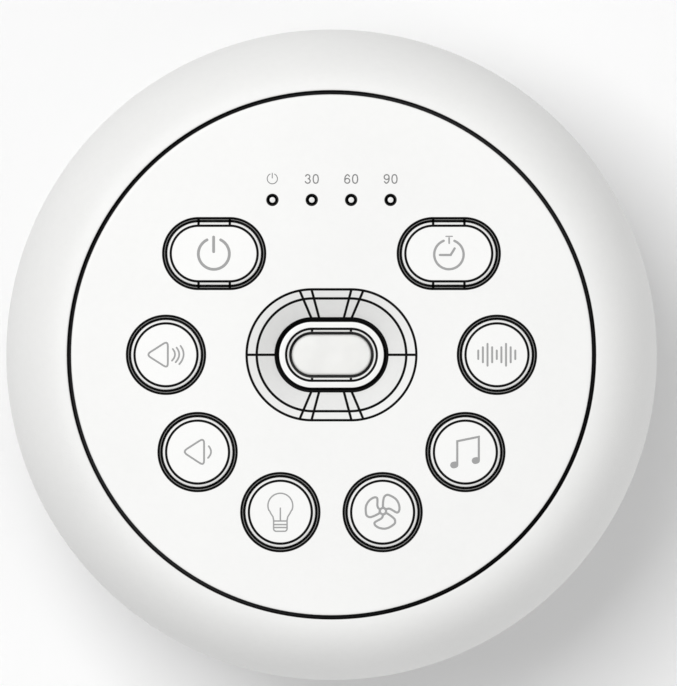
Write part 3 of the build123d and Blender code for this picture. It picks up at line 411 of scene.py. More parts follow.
def control_panel():
    """Two plates, the rim, the walls of the holes and the dish, welded into one panel."""
    rim = [(PANEL_RADIUS - LIP - RIM_BAND, PANEL_TOP)]
    rim += arc((PANEL_RADIUS - LIP, PANEL_TOP - LIP), LIP, 90, 0) + [(PANEL_RADIUS, PANEL_BOTTOM)]
    parts = [quads(carry(rim, 0, count=ROUND_POINTS))]
    top = [outline(PANEL_RADIUS - LIP - RIM_BAND, count=ROUND_POINTS)]
    bottom = [outline(PANEL_RADIUS, count=ROUND_POINTS)]
    wide = BUTTON_GAP + BUTTON_CHAMFER
    for name, centre in centres.items():
        radius, straight = shape_of[name]
        flat, wall = (wide, PANEL_TOP), (BUTTON_GAP, PANEL_TOP - BUTTON_CHAMFER)
        profile = [flat] + soft_corner(flat, wall, (BUTTON_GAP, PANEL_BOTTOM)) + [(BUTTON_GAP, PANEL_BOTTOM)]
        parts.append(quads(carry(profile, radius, straight, centre)))
        top.append(outline(radius + wide, straight) + centre)
        bottom.append(outline(radius + BUTTON_GAP, straight) + centre)
    for centre in windows:
        edge = [(RIM_BAND, PANEL_TOP)] + arc((SOFT, PANEL_TOP - SOFT), SOFT, 90, 180, 4)
        edge.append((0, PANEL_BOTTOM))
        parts.append(quads(carry(edge, INDICATOR_HOLE, 0, centre, WINDOW_POINTS)))
        top.append(outline(INDICATOR_HOLE + RIM_BAND, count=WINDOW_POINTS) + centre)
        bottom.append(outline(INDICATOR_HOLE, count=WINDOW_POINTS) + centre)
    slopes = [
        (DISH_RIM + RIM_BAND, PANEL_TOP, 0.0),
        (DISH_RIM, PANEL_TOP, 0.0),
        (DISH_FACET, PANEL_TOP - FACET_DEPTH, FACET_STRAIGHT - DISH_STRAIGHT),
        (DISH_HOLE, DISH_BOTTOM, 0.0),
        (DISH_HOLE, BOWL_BOTTOM, 0.0),
        (DISH_HOLE + BOWL_WALL, BOWL_BOTTOM, 0.0),
        (DISH_RIM + BOWL_WALL / 2, PANEL_BOTTOM, 0.0),
    ]
    parts.append(quads(carry(softened(slopes), 0, DISH_STRAIGHT, count=DISH_POINTS)))
    top.append(outline(DISH_RIM + RIM_BAND, DISH_STRAIGHT, DISH_POINTS))
    bottom.append(outline(DISH_RIM + BOWL_WALL / 2, DISH_STRAIGHT, DISH_POINTS))
    parts += [plate(top, PANEL_TOP), plate(bottom, PANEL_BOTTOM)]
    return piece("panel_skin", parts, "housing", "top_panel")


panel_skin = control_panel()

# %% [markdown]
# ## The buttons
# A button is a hollow cap: a flat top, a rounded edge, a skirt, and a flange that keeps it in the panel.
# The round and the long buttons share one profile, so the only difference is the outline it is carried
# round. The outline's innermost row has no radius left, which closes the top in a point or in a line.

# %% Buttons
EDGE_ROUND, FLANGE, FLANGE_THICK, CAP_TOP, CAP_WALL = 0.6, 1.1, 1.2, 1.6, 1.2
CAP_BAND = 0.2  # a flat band inside the rounded edge, which keeps the top flat
UNDER_PANEL = PANEL_BOTTOM - 0.3  # where what is held under the panel begins
PLUNGER_TOP = low_high("light_plunger")[1][2]
POST_RADIUS, POST_SINK = 1.9, 0.1  # the post starts a little inside the cap


def button(name):
    """Carry the cap's profile round the button's outline, and add the post that bears on the switch."""
    radius, straight = shape_of[name]
    under = BUTTON_TOP - CAP_TOP
    profile = [(-radius, BUTTON_TOP), (-EDGE_ROUND - CAP_BAND, BUTTON_TOP)]
    profile += arc((-EDGE_ROUND, BUTTON_TOP - EDGE_ROUND), EDGE_ROUND, 90, 0, 9)
    profile += [(0, UNDER_PANEL), (FLANGE, UNDER_PANEL), (FLANGE, UNDER_PANEL - FLANGE_THICK)]
    profile += [(-CAP_WALL, UNDER_PANEL - FLANGE_THICK), (-CAP_WALL, under), (-radius, under)]
    root = under + POST_SINK
    post = [(-POST_RADIUS, root), (0, root), (0, PLUNGER_TOP), (-POST_RADIUS, PLUNGER_TOP)]
    parts = [
        quads(carry(profile, radius, straight, centres[name])),
        quads(carry(post, POST_RADIUS, 0, centres[name], 32)),
    ]
    return piece(f"{name}_cap", parts, f"{name}_key", f"{name}_button")


caps = {name: button(name) for name in centres}

# %% [markdown]
# ## The night light and the windows
# A ring with a rolled inner edge sits at the bottom of the dish, half a millimetre clear of its wall. The
# frosted lens lies a little under the ring's rim. The four windows are the tips of one clear moulding. All
# of them are profiles carried round a point or a line, so they need nothing new.

# %% Night light
BEZEL_RADIUS, BEZEL_OPENING, BEZEL_ROUND = 6.25, 4.22, 0.53
BEZEL_LAND, BEZEL_FOOT = BEZEL_RADIUS - 1.0, BEZEL_RADIUS + 1.7  # end of its flat top, edge of its flange
LENS_RADIUS, LENS_FOOT = 3.74, 5.2
LENS_BOTTOM, LENS_TOP = [corner[2] for corner in low_high("light_lens")]


def night_light(name, profile, points, node):
    """Carry a closed profile round the straight middle line of the dish."""
    return piece(name, [quads(carry(profile, 0, DISH_STRAIGHT, count=points))], "housing", node)


bezel_edge = [(BEZEL_LAND, DISH_BOTTOM), (BEZEL_RADIUS, DISH_BOTTOM), (BEZEL_RADIUS, BOWL_BOTTOM)]
bezel_foot = [(BEZEL_FOOT, BOWL_BOTTOM), (BEZEL_FOOT, BEZEL_BOTTOM), (BEZEL_OPENING, BEZEL_BOTTOM)]
roll_centre = (BEZEL_OPENING + BEZEL_ROUND, DISH_BOTTOM - BEZEL_ROUND)
bezel_profile = softened(bezel_edge) + bezel_foot + arc(roll_centre, BEZEL_ROUND, 180, 90, 7)
bezel_profile.append(bezel_profile[0])
bezel_skin = night_light("bezel_skin", bezel_profile, DISH_POINTS, "light_bezel")

crown_centre = (LENS_RADIUS - BEZEL_ROUND, LENS_TOP - BEZEL_ROUND)
lens_profile = [(0, LENS_TOP)] + arc(crown_centre, BEZEL_ROUND, 90, 0, 7)
lens_profile += [(LENS_RADIUS, BEZEL_BOTTOM), (LENS_FOOT, BEZEL_BOTTOM)]
lens_profile += [(LENS_FOOT, LENS_BOTTOM), (0, LENS_BOTTOM)]
lens_skin = night_light("lens_skin", lens_profile, LENS_POINTS, "light_lens")

# %% Windows
TIP_RADIUS, STEM_RADIUS, BAR_RADIUS, BAR_HEIGHT = 0.6, 0.9, 1.2, 1.6
PIPE_BOTTOM = low_high("indicator_light_pipe")[0][2]
BAR_BOTTOM = UNDER_PANEL - BAR_HEIGHT


def light_pipe():
    """Four posts on one bar: each is a flat tip with a softened edge on a wider stem."""
    parts = []
    for centre in windows:
        tip = [(0.0, PANEL_TOP)] + arc((TIP_RADIUS - SOFT, PANEL_TOP - SOFT), SOFT, 90, 0, 4)
        tip += [(TIP_RADIUS, UNDER_PANEL), (STEM_RADIUS, UNDER_PANEL)]
        tip += [(STEM_RADIUS, PIPE_BOTTOM), (0.0, PIPE_BOTTOM)]
        parts.append(quads(carry(tip, 0, 0, centre, WINDOW_POINTS)))
    bar = [(0.0, UNDER_PANEL), (BAR_RADIUS, UNDER_PANEL), (BAR_RADIUS, BAR_BOTTOM), (0.0, BAR_BOTTOM)]
    bar_length = windows[-1][0] - windows[0][0]
    parts.append(quads(carry(bar, 0, bar_length, (0.0, INDICATOR_Y), WINDOW_POINTS)))
    return piece("window_skin", parts, "housing", "indicator_light_pipe")


window_skin = light_pipe()

# %% [markdown]
# ## The printed symbols
# The symbols are pad printed in grey: a film of ink a few hundredths of a millimetre thick. Each one is
# drawn as pen strokes. A stroke is a thin rectangular bar carried along a line, with its width shrinking to
# nothing over the last half width, which gives the round end of a pen.

# %% Pen strokes
INK, INK_STEP = 0.03, 0.002  # thickness of the ink, and how much each stroke lies over the one before it
END_STEPS = 5


def stroke(points, width, height, closed=False):
    """Grid of a bar carried along a line: two edges half a width to each side of it, at two heights.

    At each point the heading is the middle one of the directions before and after it. The half width is
    divided by the cosine between heading and direction, so that the bar keeps its width round a corner. Past
    each end of an open line the half width falls as the cosine while the bar goes on as the sine of the
    same angle, which makes the round end.
    """
    line = np.asarray(points, float)
    runs = np.roll(line, -1, axis=0) - line if closed else np.diff(line, axis=0)
    runs /= np.linalg.norm(runs, axis=1)[:, None]
    before = np.roll(runs, 1, axis=0) if closed else np.concatenate([runs[:1], runs])
    after = runs if closed else np.concatenate([runs, runs[-1:]])
    heading = before + after
    heading /= np.linalg.norm(heading, axis=1)[:, None]
    half = width / 2 / (heading * after).sum(axis=1)
    if closed:
        line, heading, half = [np.concatenate([block, block[:1]]) for block in (line, heading, half)]
    else:
        a = np.linspace(0, np.pi / 2, END_STEPS + 1)[1:, None]
        lead = line[0] - heading[0] * np.sin(a) * width / 2
        tail = line[-1] + heading[-1] * np.sin(a) * width / 2
        line = np.concatenate([lead[::-1], line, tail])
        ends = [np.repeat(heading[place], END_STEPS, 0) for place in (slice(0, 1), slice(-1, None))]
        heading = np.concatenate([ends[0], heading, ends[1]])
        shrink = np.cos(a[:, 0]) * width / 2
        half = np.concatenate([shrink[::-1], half, shrink])
    aside = np.stack([-heading[:, 1], heading[:, 0]], axis=1) * half[:, None]
    edges = [(line - aside, 0), (line - aside, INK), (line + aside, INK), (line + aside, 0)]
    columns = [np.column_stack([flat, np.full(len(flat), height + z)]) for flat, z in edges]
    return quads(np.stack(columns, axis=1))


print("faces of a straight stroke", len(stroke([(0.0, 0.0), (1.0, 0.0)], 0.5, 0.0)[1]))

# %% Lines for the pen


def circle(centre, radius, start=0.0, end=360.0, count=48):
    """Points of a circular line between two angles in degrees."""
    angle = np.radians(np.linspace(start, end, count))
    return np.stack([centre[0] + radius * np.cos(angle), centre[1] + radius * np.sin(angle)], axis=1)


def straight_line(*corners, steps=2):
    """Points along straight runs, close enough together for an even stroke."""
    corners = np.array(corners, float)
    runs = [np.linspace(a, b, steps, endpoint=False) for a, b in zip(corners, corners[1:])]
    return np.concatenate(runs + [corners[-1:]])


def bulge(top, bottom, sideways, count=16):
    """A shallow curve from one point to another that reaches out to an x: a parabola over the run."""
    top, bottom = np.array(top), np.array(bottom)
    t = np.linspace(0, 1, count)[:, None]
    flat = top + (bottom - top) * t
    reach = sideways - (top[0] + bottom[0]) / 2
    return flat + np.array([1.0, 0.0]) * 4 * t * (1 - t) * reach


def flowing(points, steps=8, closed=True):
    """A smooth line through points: a cubic between each two.

    It passes each point in the direction from the one before it to the one after it. An open line begins at
    the second point and ends just short of the last but one.
    """
    p = np.array(points, float)
    before, after, beyond = np.roll(p, 1, axis=0), np.roll(p, -1, axis=0), np.roll(p, -2, axis=0)
    t = (np.arange(steps) / steps)[None, :, None]
    p, before, after, beyond = [block[:, None, :] for block in (p, before, after, beyond)]
    curve = 0.5 * (
        2 * p
        + (after - before) * t
        + (2 * before - 5 * p + 4 * after - beyond) * t**2
        + (3 * p - before - 3 * after + beyond) * t**3
    )
    return (curve if closed else curve[1:-2]).reshape(-1, 2)


def rounded_loop(corners, radius, count=6):
    """A closed line of straight runs with rounded corners: each corner is the parabola beside it."""
    points = [np.array(corner, float) for corner in corners]
    loop = []
    for i, corner in enumerate(points):
        loop += soft_corner(points[i - 1], corner, points[(i + 1) % len(points)], radius, count)
    return np.array(loop)


def turned(points, degrees):
    """Points turned about the origin."""
    a = math.radians(degrees)
    return np.asarray(points) @ np.array([[math.cos(a), math.sin(a)], [-math.sin(a), math.cos(a)]])


print("a quarter turn takes (1, 0) to", turned([(1.0, 0.0)], 90).round(2).tolist())

# %% [markdown]
# A symbol is a list of lines, each with the width of its pen and whether it is closed. Its points are in
# millimetres from the middle of its button, so one function can print any symbol on any button.

# %% Power and timer symbols


def power_symbol(scale=1.0, pen=0.52):
    """An open ring with a bar in its gap."""
    ring = circle((-0.06, -0.05), 2.85, 116, 424) * scale
    bar = straight_line((-0.1, 3.03), (-0.1, 0.35)) * scale
    return [(ring, pen, False), (bar, pen, False)]


def timer_symbol():
    """A clock face with two hands, open at the top, where a small T stands."""
    face = circle((0.02, -0.18), 2.7, 111, 428)
    hands = straight_line((-1.64, -0.26), (0.34, -0.26), (1.07, 0.94))
    bar = straight_line((-0.52, 3.16), (0.64, 3.16))
    stem = straight_line((0.06, 2.88), (0.06, 1.9))
    return [(face, 0.44, False), (hands, 0.42, False), (bar, 0.22, False), (stem, 0.3, False)]

# %% Loudspeaker symbols


def volume_up_symbol():
    """A loudspeaker as a rounded triangle, with three waves."""
    horn = rounded_loop([(-3.63, 0.03), (0.34, 2.56), (0.34, -2.5)], 0.95)
    waves = [
        bulge((1.25, 1.07), (1.10, -1.07), 1.65),
        bulge((1.95, 1.31), (1.77, -1.36), 2.42),
        bulge((2.68, 1.63), (2.45, -1.71), 3.23),
    ]
    return [(horn, 0.34, True)] + [(wave, 0.32, False) for wave in waves]


def volume_down_symbol():
    """The same loudspeaker with one wave."""
    horn = rounded_loop([(-2.78, 0.07), (1.19, 2.61), (1.19, -2.53)], 1.0)
    return [(horn, 0.34, True), (bulge((2.05, 1.07), (1.92, -1.06), 2.46), 0.32, False)]

# %% Bulb and fan symbols


def light_symbol():
    """A light bulb: a round glass that draws in to a neck, a ribbed base and a filament."""
    neck = [(1.24, -1.4), (1.37, -0.81), (1.7, -0.32), (2.02, 0.3)]
    crown = circle((0.0, 1.2), 2.28, 200, -20, 40)
    glass = np.concatenate([[(-x, y) for x, y in neck], crown, neck[::-1]])
    side_of_base = [(1.24, -1.4), (1.24, -3.1), (1.13, -3.36), (0.86, -3.5)]
    base = [(-x, y) for x, y in side_of_base] + side_of_base[::-1]
    lines = [glass, straight_line(*base), straight_line((0.0, 0.74), (0.0, -1.6))]
    lines += [straight_line((-1.24, height), (1.24, height)) for height in (-1.61, -2.27, -2.81)]
    return [(line, 0.26, False) for line in lines]


def fan_symbol():
    """A round hub and one leaf-shaped blade, turned to three places."""
    hub = (0.06, 0.2)
    leaf = [(0.05, 0.72), (0.0, 1.23), (0.08, 2.07), (0.27, 2.67), (0.79, 2.99), (1.43, 2.81)]
    leaf += [(2.2, 2.36), (2.69, 1.79), (2.97, 1.09), (3.03, 0.46), (2.92, -0.02), (2.66, -0.26)]
    leaf += [(2.34, -0.18), (1.85, 0.11), (1.36, 0.39), (0.95, 0.46), (0.6, 0.38)]
    blades = [(turned(flowing(leaf, 6), third) + hub, 0.4, True) for third in (0, 120, 240)]
    return blades + [(circle(hub, 0.57, 0, 352, 44), 0.4, True)]

# %% Music and noise symbols


def music_symbol():
    """Two notes joined by a slanted beam, with solid heads."""
    beam = straight_line((-1.49, -2.3), (-1.49, 2.0), (2.47, 2.81), (2.47, -1.5))
    left, right = (-2.03, -2.36), (1.93, -1.55)
    heads = [straight_line((x - 0.15, y - 0.03), (x + 0.13, y + 0.03)) for x, y in (left, right)]
    return [(beam, 0.39, False)] + [(head, 1.22, False) for head in heads]


def noise_symbol():
    """Nine upright bars of different lengths, as on a level meter."""
    halves = (0.78, 1.38, 2.0, 1.38, 0.78, 1.38, 2.0, 1.38, 0.78)
    places = -0.04 + 0.85 * (np.arange(len(halves)) - 4)
    return [(straight_line((x, 0.01 - h), (x, 0.01 + h)), 0.36, False) for x, h in zip(places, halves)]


# %% Print the symbols
symbols = {
    "power": power_symbol,
    "timer": timer_symbol,
    "volume_up": volume_up_symbol,
    "volume_down": volume_down_symbol,
    "light": light_symbol,
    "fan": fan_symbol,
    "music": music_symbol,
    "noise": noise_symbol,
}


def print_symbol(name, lines, centre, height, body):
    """Lay a symbol's strokes on a face, half sunk in it, as one piece."""
    low = height - INK / 2
    parts = []
    for i, (line, pen, closed) in enumerate(lines):
        parts.append(stroke(line + centre, pen, low + i * INK_STEP, closed))
    return piece(name, parts, body)


inks = [
    print_symbol(f"{name}_symbol", draw(), centres[name], BUTTON_TOP, f"{name}_key")
    for name, draw in symbols.items()
]

# %% [markdown]
# ## The labels over the windows
# The first window shows that the machine is on, and the others show minutes left on the timer. The labels
# are a small power symbol and the plain numbers 30, 60 and 90, drawn with the same pen.

# %% Labels
DIGIT_HEIGHT, DIGIT_WIDTH, DIGIT_PEN, DIGIT_PITCH = 1.57, 0.90, 0.22, 1.44
LABEL_Y = 32.31
ON_SCALE, ON_PEN, ON_LIFT = 0.33, 0.16, 0.06  # the power symbol over the first window


def digit(number):
    """The pen lines of a digit in a box of the digit's width and height about the origin."""
    w, h = DIGIT_WIDTH / 2, DIGIT_HEIGHT / 2
    ring = [(0, h), (0.72 * w, 0.8 * h), (w, 0.25 * h), (w, -0.25 * h), (0.72 * w, -0.8 * h), (0, -h)]
    oval = ring + [(-x, y) for x, y in ring[-2:0:-1]]
    bowl = circle((0, -0.44 * h), 0.56 * h, 0, 352, 32) * [w / (0.56 * h), 1.0]
    if number == "0":
        return [(flowing(oval), True)]
    if number == "6":
        back = [(1.6 * w, 0.1 * h), (0.88 * w, 0.62 * h), (0.1 * w, h), (-0.78 * w, 0.55 * h)]
        back += [(-w, -0.3 * h), (-0.8 * w, -1.0 * h)]
        return [(bowl, True), (flowing(back, closed=False), False)]
    if number == "9":
        return [(-line, closed) for line, closed in digit("6")]
    upper = circle((0, 0), 1.0, 165, -80, 20) * [0.86 * w, 0.48 * h] + [-0.06 * w, 0.52 * h]
    lower = circle((0, 0), 1.0, 80, -165, 20) * [w, 0.53 * h] + [-0.06 * w, -0.47 * h]
    return [(upper, False), (lower, False)]


def label(text, centre, name):
    """Print a two-digit number over a window."""
    lines = []
    for place, number in zip((-DIGIT_PITCH / 2, DIGIT_PITCH / 2), text):
        lines += [(line + [place, 0.0], DIGIT_PEN, closed) for line, closed in digit(number)]
    return print_symbol(name, lines, centre, PANEL_TOP, "housing")


over = np.array([0.0, LABEL_Y - INDICATOR_Y])
on_place = windows[0] + over + [0.0, ON_LIFT]
small_power = power_symbol(ON_SCALE, ON_PEN)
labels = [print_symbol("on_label", small_power, on_place, PANEL_TOP, "housing")]
for minutes, window in zip(("30", "60", "90"), windows[1:]):
    labels.append(label(minutes, window + over, f"minutes_{minutes}_label"))

# %% [markdown]
# ## Finishes
# A finish is a small network of nodes. Written as Python expressions it reads like arithmetic: a wire is
# wrapped in a class whose operators add Math nodes, and any other node comes from one method.

# %% Shader wires


class Wire:
    """A socket that can be used in sums: each operator adds the Math node that does it."""

    def __init__(self, finish, socket):
        self.finish, self.socket = finish, socket

    def math(self, operation, other, swap=False):
        """Add a Math node between this wire and a wire or number."""
        pair = [other, self] if swap else [self, other]
        return self.finish.node("ShaderNodeMath", {"operation": operation}, pair)

    def __add__(self, other):
        return self.math("ADD", other)

    def __mul__(self, other):
        return self.math("MULTIPLY", other)

    def __sub__(self, other):
        return self.math("SUBTRACT", other)

    def __rsub__(self, other):
        return self.math("SUBTRACT", other, swap=True)

    def __pow__(self, other):
        return self.math("POWER", other)

    def __abs__(self):
        return self.math("ABSOLUTE", 0.0)

    def __or__(self, other):
        return self.math("MAXIMUM", other)

    __radd__, __rmul__ = __add__, __mul__

# %% A finish under construction


class Finish:
    """A material under construction."""

    def __init__(self, name):
        self.material = bpy.data.materials.new(name)
        self.material.use_nodes = True
        self.tree = self.material.node_tree
        self.shader = self.tree.nodes["Principled BSDF"]
        self.place = self.node("ShaderNodeTexCoord", {}, [], "Object")

    def node(self, kind, settings, inputs, output=0):
        """Add a node: its settings first, then its inputs in order or by name, from values or wires."""
        made = self.tree.nodes.new(kind)
        for key, value in settings.items():
            setattr(made, key, value)
        pairs = inputs.items() if isinstance(inputs, dict) else enumerate(inputs)
        for key, value in pairs:
            if isinstance(value, Wire):
                self.tree.links.new(value.socket, made.inputs[key])
            elif value is not None:
                made.inputs[key].default_value = value
        return Wire(self, made.outputs[output])

    def noise(self, size_mm, detail=2.0, rough=0.5, stretch=None):
        """Noise whose spots are about a size in millimetres, stretched along the axes where asked."""
        place = self.place
        if stretch:
            place = self.node("ShaderNodeMapping", {}, {"Vector": self.place, "Scale": stretch})
        inputs = {"Vector": place, "Scale": 1.0 / (size_mm * MM), "Detail": detail, "Roughness": rough}
        return self.node("ShaderNodeTexNoise", {}, inputs)

    def axes(self):
        """The three object coordinates, in millimetres."""
        split = self.node("ShaderNodeSeparateXYZ", {}, [self.place])
        return [Wire(self, split.socket.node.outputs[i]) * (1 / MM) for i in range(3)]

    def ramp(self, wire, low, high, start=0.0, end=1.0):
        """Map a wire's range to another, clamped."""
        inputs = {"Value": wire, "From Min": low, "From Max": high, "To Min": start, "To Max": end}
        return self.node("ShaderNodeMapRange", {"clamp": True}, inputs)

    def blend(self, factor, first, second):
        """Mix two colours by a factor. A Mix node's colours are its inputs 6 and 7 and its output 2."""
        inputs = {0: factor, 6: colour(first), 7: colour(second)}
        return self.node("ShaderNodeMix", {"data_type": "RGBA"}, inputs, 2)

    def bump(self, height, depth_mm, strength=1.0, under=None):
        """A bumped normal: the height wire runs from 0 to 1 over a depth in millimetres."""
        inputs = {"Strength": strength, "Distance": depth_mm * MM, "Height": height, "Normal": under}
        return self.node("ShaderNodeBump", {}, inputs)

    def set(self, **sockets):
        """Set the shader's sockets by name, with _ for spaces."""
        for key, value in sockets.items():
            socket = self.shader.inputs[key.replace("_", " ")]
            if isinstance(value, Wire):
                self.tree.links.new(value.socket, socket)
            elif isinstance(value, (tuple, list)):
                socket.default_value = colour(value)
            else:
                socket.default_value = value
        return self.material


def colour(value):
    """Three numbers as a colour with alpha, or a wire as it is."""
    return value if isinstance(value, Wire) or len(value) == 4 else (*value, 1.0)


def wear(obj, material):
    """Put one material on an object in place of all that it has."""
    obj.data.materials.clear()
    obj.data.materials.append(material)


# %% [markdown]
# ## Painted shade in lines and gaps
# Where two mouldings meet, the gap between them is dark, and so is the fine groove along a crease of the
# dish or the bevel of a button. That darkness is painted shade in the colour of the surfaces. The gaps are
# cut into the meshes and their walls are painted dark a little under the top; the grooves could be cut too,
# but a groove half a millimetre wide and hundreds long costs many faces. Here each is a mask: a number from
# 0 to 1 worked out from the distance to the line, with the same sizes that the surfaces were made from.

# %% Sizes of the lines and gaps
# The scored lines are a bump in the normal, painted with near black shade.
LINE = 0.23  # half the width of a scored line
LINE_IN, LINE_OUT = 0.85 * LINE, 1.15 * LINE  # it fades between these two distances
FADE = 0.05  # how far the edge of a band takes to fade
CREASES = [  # lines that part the dish into panels, in one quarter of it: from the rim to the ring
    ((3.67, 12.02), (2.25, 6.70)),
    ((5.86, 11.83), (3.68, 6.70)),
]
RIGHT_BUTTONS = ("noise", "music", "fan", "timer")  # the others are their mirror images
CAP_LINE, RIM_LINE = -0.62, 0.76  # where the lines of a cap and of its hole lie, from the cap's outline
RING_LINE = 4.77  # the line on the night light's ring
# A window's black ring is painted shade, in its gap and over the rounded rim of its hole.
WINDOW_INNER, WINDOW_OUTER = (0.46, 0.54), (1.10, 1.18)  # where a window's black ring starts and ends
HOLE_REACH = 0.1  # how far the lines of a hole or the dish run on past an edge
GROOVE_LIT, HOLE_LIT, SIDE_LIT, CAP_LIT = 0.1, 0.27, 0.35, 0.3  # light reaches this far down a gap
HOLE_FADE = 0.12
DISH_EDGE = (DISH_RIM + 0.2, DISH_RIM + 0.3)  # the gaps round the caps lie outside it
# The edge and seam bands below mark where the groove and the seams are painted with shade.
PANEL_EDGE = (46.0, 49.0)
UPPER_SEAM = (SHELL_BOTTOM - 0.2, SHELL_BOTTOM + 0.08)
LOWER_SEAM = (GRILLE_BOTTOM - 0.12, GRILLE_BOTTOM + 0.2)

# %% Masks from distances


def near_line(finish, distance):
    """1 where a distance in millimetres is within a scored line, falling to 0 beside it."""
    return finish.ramp(abs(distance), LINE_IN, LINE_OUT, 1.0, 0.0)


def between(finish, distance, low, high):
    """1 where a distance lies between two others, with soft edges."""
    return finish.ramp(distance, low, low + FADE) * finish.ramp(distance, high, high + FADE, 1.0, 0.0)


def away(finish, centre=(0.0, 0.0), straight=0.0):
    """Distance in millimetres from the middle line of a stadium, the same on the left and on the right.

    The middle line is a straight piece about the centre, along X. What x goes beyond its end and what y lies
    off it are the two legs of a right triangle, and the distance is the long side.
    """
    x, y, _ = finish.axes()
    beyond = (abs(abs(x) - centre[0]) - straight / 2) | 0.0
    aside = y - centre[1]
    return (beyond * beyond + aside * aside) ** 0.5

# %% Lines of the buttons


def button_lines(finish, offset, reach):
    """Lines of painted shade at an offset from every button's outline, and across the long ones where their
    ends begin.

    The short lines across lie between two offsets, the reach.
    """
    lines = None
    for name in RIGHT_BUTTONS:
        radius, straight = shape_of[name]
        distance = away(finish, centres[name], straight)
        line = near_line(finish, distance - (radius + offset))
        lines = line if lines is None else lines | line
    x = finish.axes()[0]
    tangent = near_line(finish, abs(abs(x) - LONG_X) - LONG_STRAIGHT / 2)
    return lines | (tangent * between(finish, distance, LONG_RADIUS + reach[0], LONG_RADIUS + reach[1]))


def cap_lines(finish):
    """Painted shade line where the flat top of a cap turns into its rounded edge."""
    return button_lines(finish, CAP_LINE, (CAP_LINE, 1.0))

# %% Lines of the dish and the night light


def panel_lines(finish):
    """Painted shade on the rims of the button holes, and the dish: three contours, two lines at its ends and
    four pairs.

    The dish is the same in all four quarters, so its lines are worked out from the sizes of x and y. A line
    between two points is near where the cross product of its direction and the way to it is small.
    """
    x, y, _ = finish.axes()
    x, y = abs(x), abs(y)
    radius = away(finish, straight=DISH_STRAIGHT)
    contours = near_line(finish, radius - DISH_RIM) | near_line(finish, radius - DISH_HOLE)
    contours = contours | near_line(finish, away(finish, straight=FACET_STRAIGHT) - DISH_FACET)
    spokes = near_line(finish, y) * finish.ramp(x, DISH_HOLE, DISH_HOLE + HOLE_REACH)
    for (ax, ay), (bx, by) in CREASES:
        length = math.hypot(bx - ax, by - ay)
        aside = (x - ax) * ((by - ay) / length) - (y - ay) * ((bx - ax) / length)
        spokes = spokes | near_line(finish, aside)
    dish = contours | (spokes * between(finish, radius, DISH_HOLE, DISH_RIM))
    return dish | button_lines(finish, RIM_LINE, (BUTTON_GAP - HOLE_REACH, RIM_LINE))


def bezel_lines(finish):
    """Painted shade lines: inside the ring's edge, where it rolls down to the lens, its outer edge, and four
    short lines.
    """
    x = finish.axes()[0]
    radius = away(finish, straight=DISH_STRAIGHT)
    short = near_line(finish, abs(x) - DISH_STRAIGHT / 2) * between(finish, radius, BEZEL_OPENING, RING_LINE)
    return near_line(finish, radius - RING_LINE) | near_line(finish, radius - BEZEL_RADIUS) | short

# %% Painted shade in gaps


def painted_shade_below(finish, height, reach=0.5):
    """Mask of painted shade that rises from 0 at a height to 1 a little under it, down a narrow gap."""
    return finish.ramp(finish.axes()[2], height - reach, height, 1.0, 0.0)


def window_shade_ring(finish):
    """Mask of the ring of painted shade in and round the gap of each window.

    Taking the size of x, less the pitch, and its size again folds the four windows onto one.
    """
    x, y, _ = finish.axes()
    across = abs(abs(abs(x) - INDICATOR_PITCH) - INDICATOR_PITCH / 2)
    aside = y - INDICATOR_Y
    radius = (across * across + aside * aside) ** 0.5
    return finish.ramp(radius, *WINDOW_INNER) * finish.ramp(radius, *WINDOW_OUTER, 1.0, 0.0)


def groove_shade(finish, inner, outer):
    """Mask of painted shade in the groove between panel and shell: a ring between two radii, a little under
    the top.
    """
    x, y, _ = finish.axes()
    radius = (x * x + y * y) ** 0.5
    deep = painted_shade_below(finish, PANEL_TOP - GROOVE_LIT, GROOVE_LIT)
    return deep * between(finish, radius, inner, outer)


def panel_gap_shade(finish):
    """Mask of painted shade in the panel's gaps: round the caps, the panel itself, the night light and the
    windows.
    """
    holes = finish.ramp(away(finish, straight=DISH_STRAIGHT), *DISH_EDGE)
    holes = painted_shade_below(finish, PANEL_TOP - HOLE_LIT, HOLE_FADE) * holes
    round_light = painted_shade_below(finish, DISH_BOTTOM - GROOVE_LIT)
    return holes | groove_shade(finish, *PANEL_EDGE) | round_light | window_shade_ring(finish)


def housing_gap_shade(finish):
    """Painted shade on the shell's side of the groove, and along the seams over and under the ring of slots.
    """
    z = finish.axes()[2]
    seams = between(finish, z, *UPPER_SEAM) | between(finish, z, *LOWER_SEAM)
    return groove_shade(finish, OPENING - 1, OPENING + LIP) | seams


def cap_gap_shade(finish):
    """Painted shade on the skirt of a cap, under the panel's top."""
    return painted_shade_below(finish, PANEL_TOP - CAP_LIT)


def bezel_gap_shade(finish):
    """Painted shade on the ring's sides, under its flat face."""
    return painted_shade_below(finish, DISH_BOTTOM - SIDE_LIT)


def lens_gap_shade(finish):
    """Painted shade on the lens's side, under its top."""
    return painted_shade_below(finish, LENS_TOP - SIDE_LIT)


print("lines", round(2 * LINE, 2), "mm wide, on", 2 * len(RIGHT_BUTTONS), "buttons")

# %% [markdown]
# ## Moulded white plastic
# The housing is matt ABS out of a spark-eroded mould, so its skin has a fine even grain of about a third of
# a millimetre. The panel and the buttons come from a polished mould and only have the slight waviness and
# haze of handled plastic. All of them get a very slight change of shade from place to place, because one
# flat white looks like paper.

# %% White plastics
# Near black painted shade, laid on the walls of gaps and along scored lines where shade falls
PAINTED_SHADE = (0.012, 0.012, 0.012)


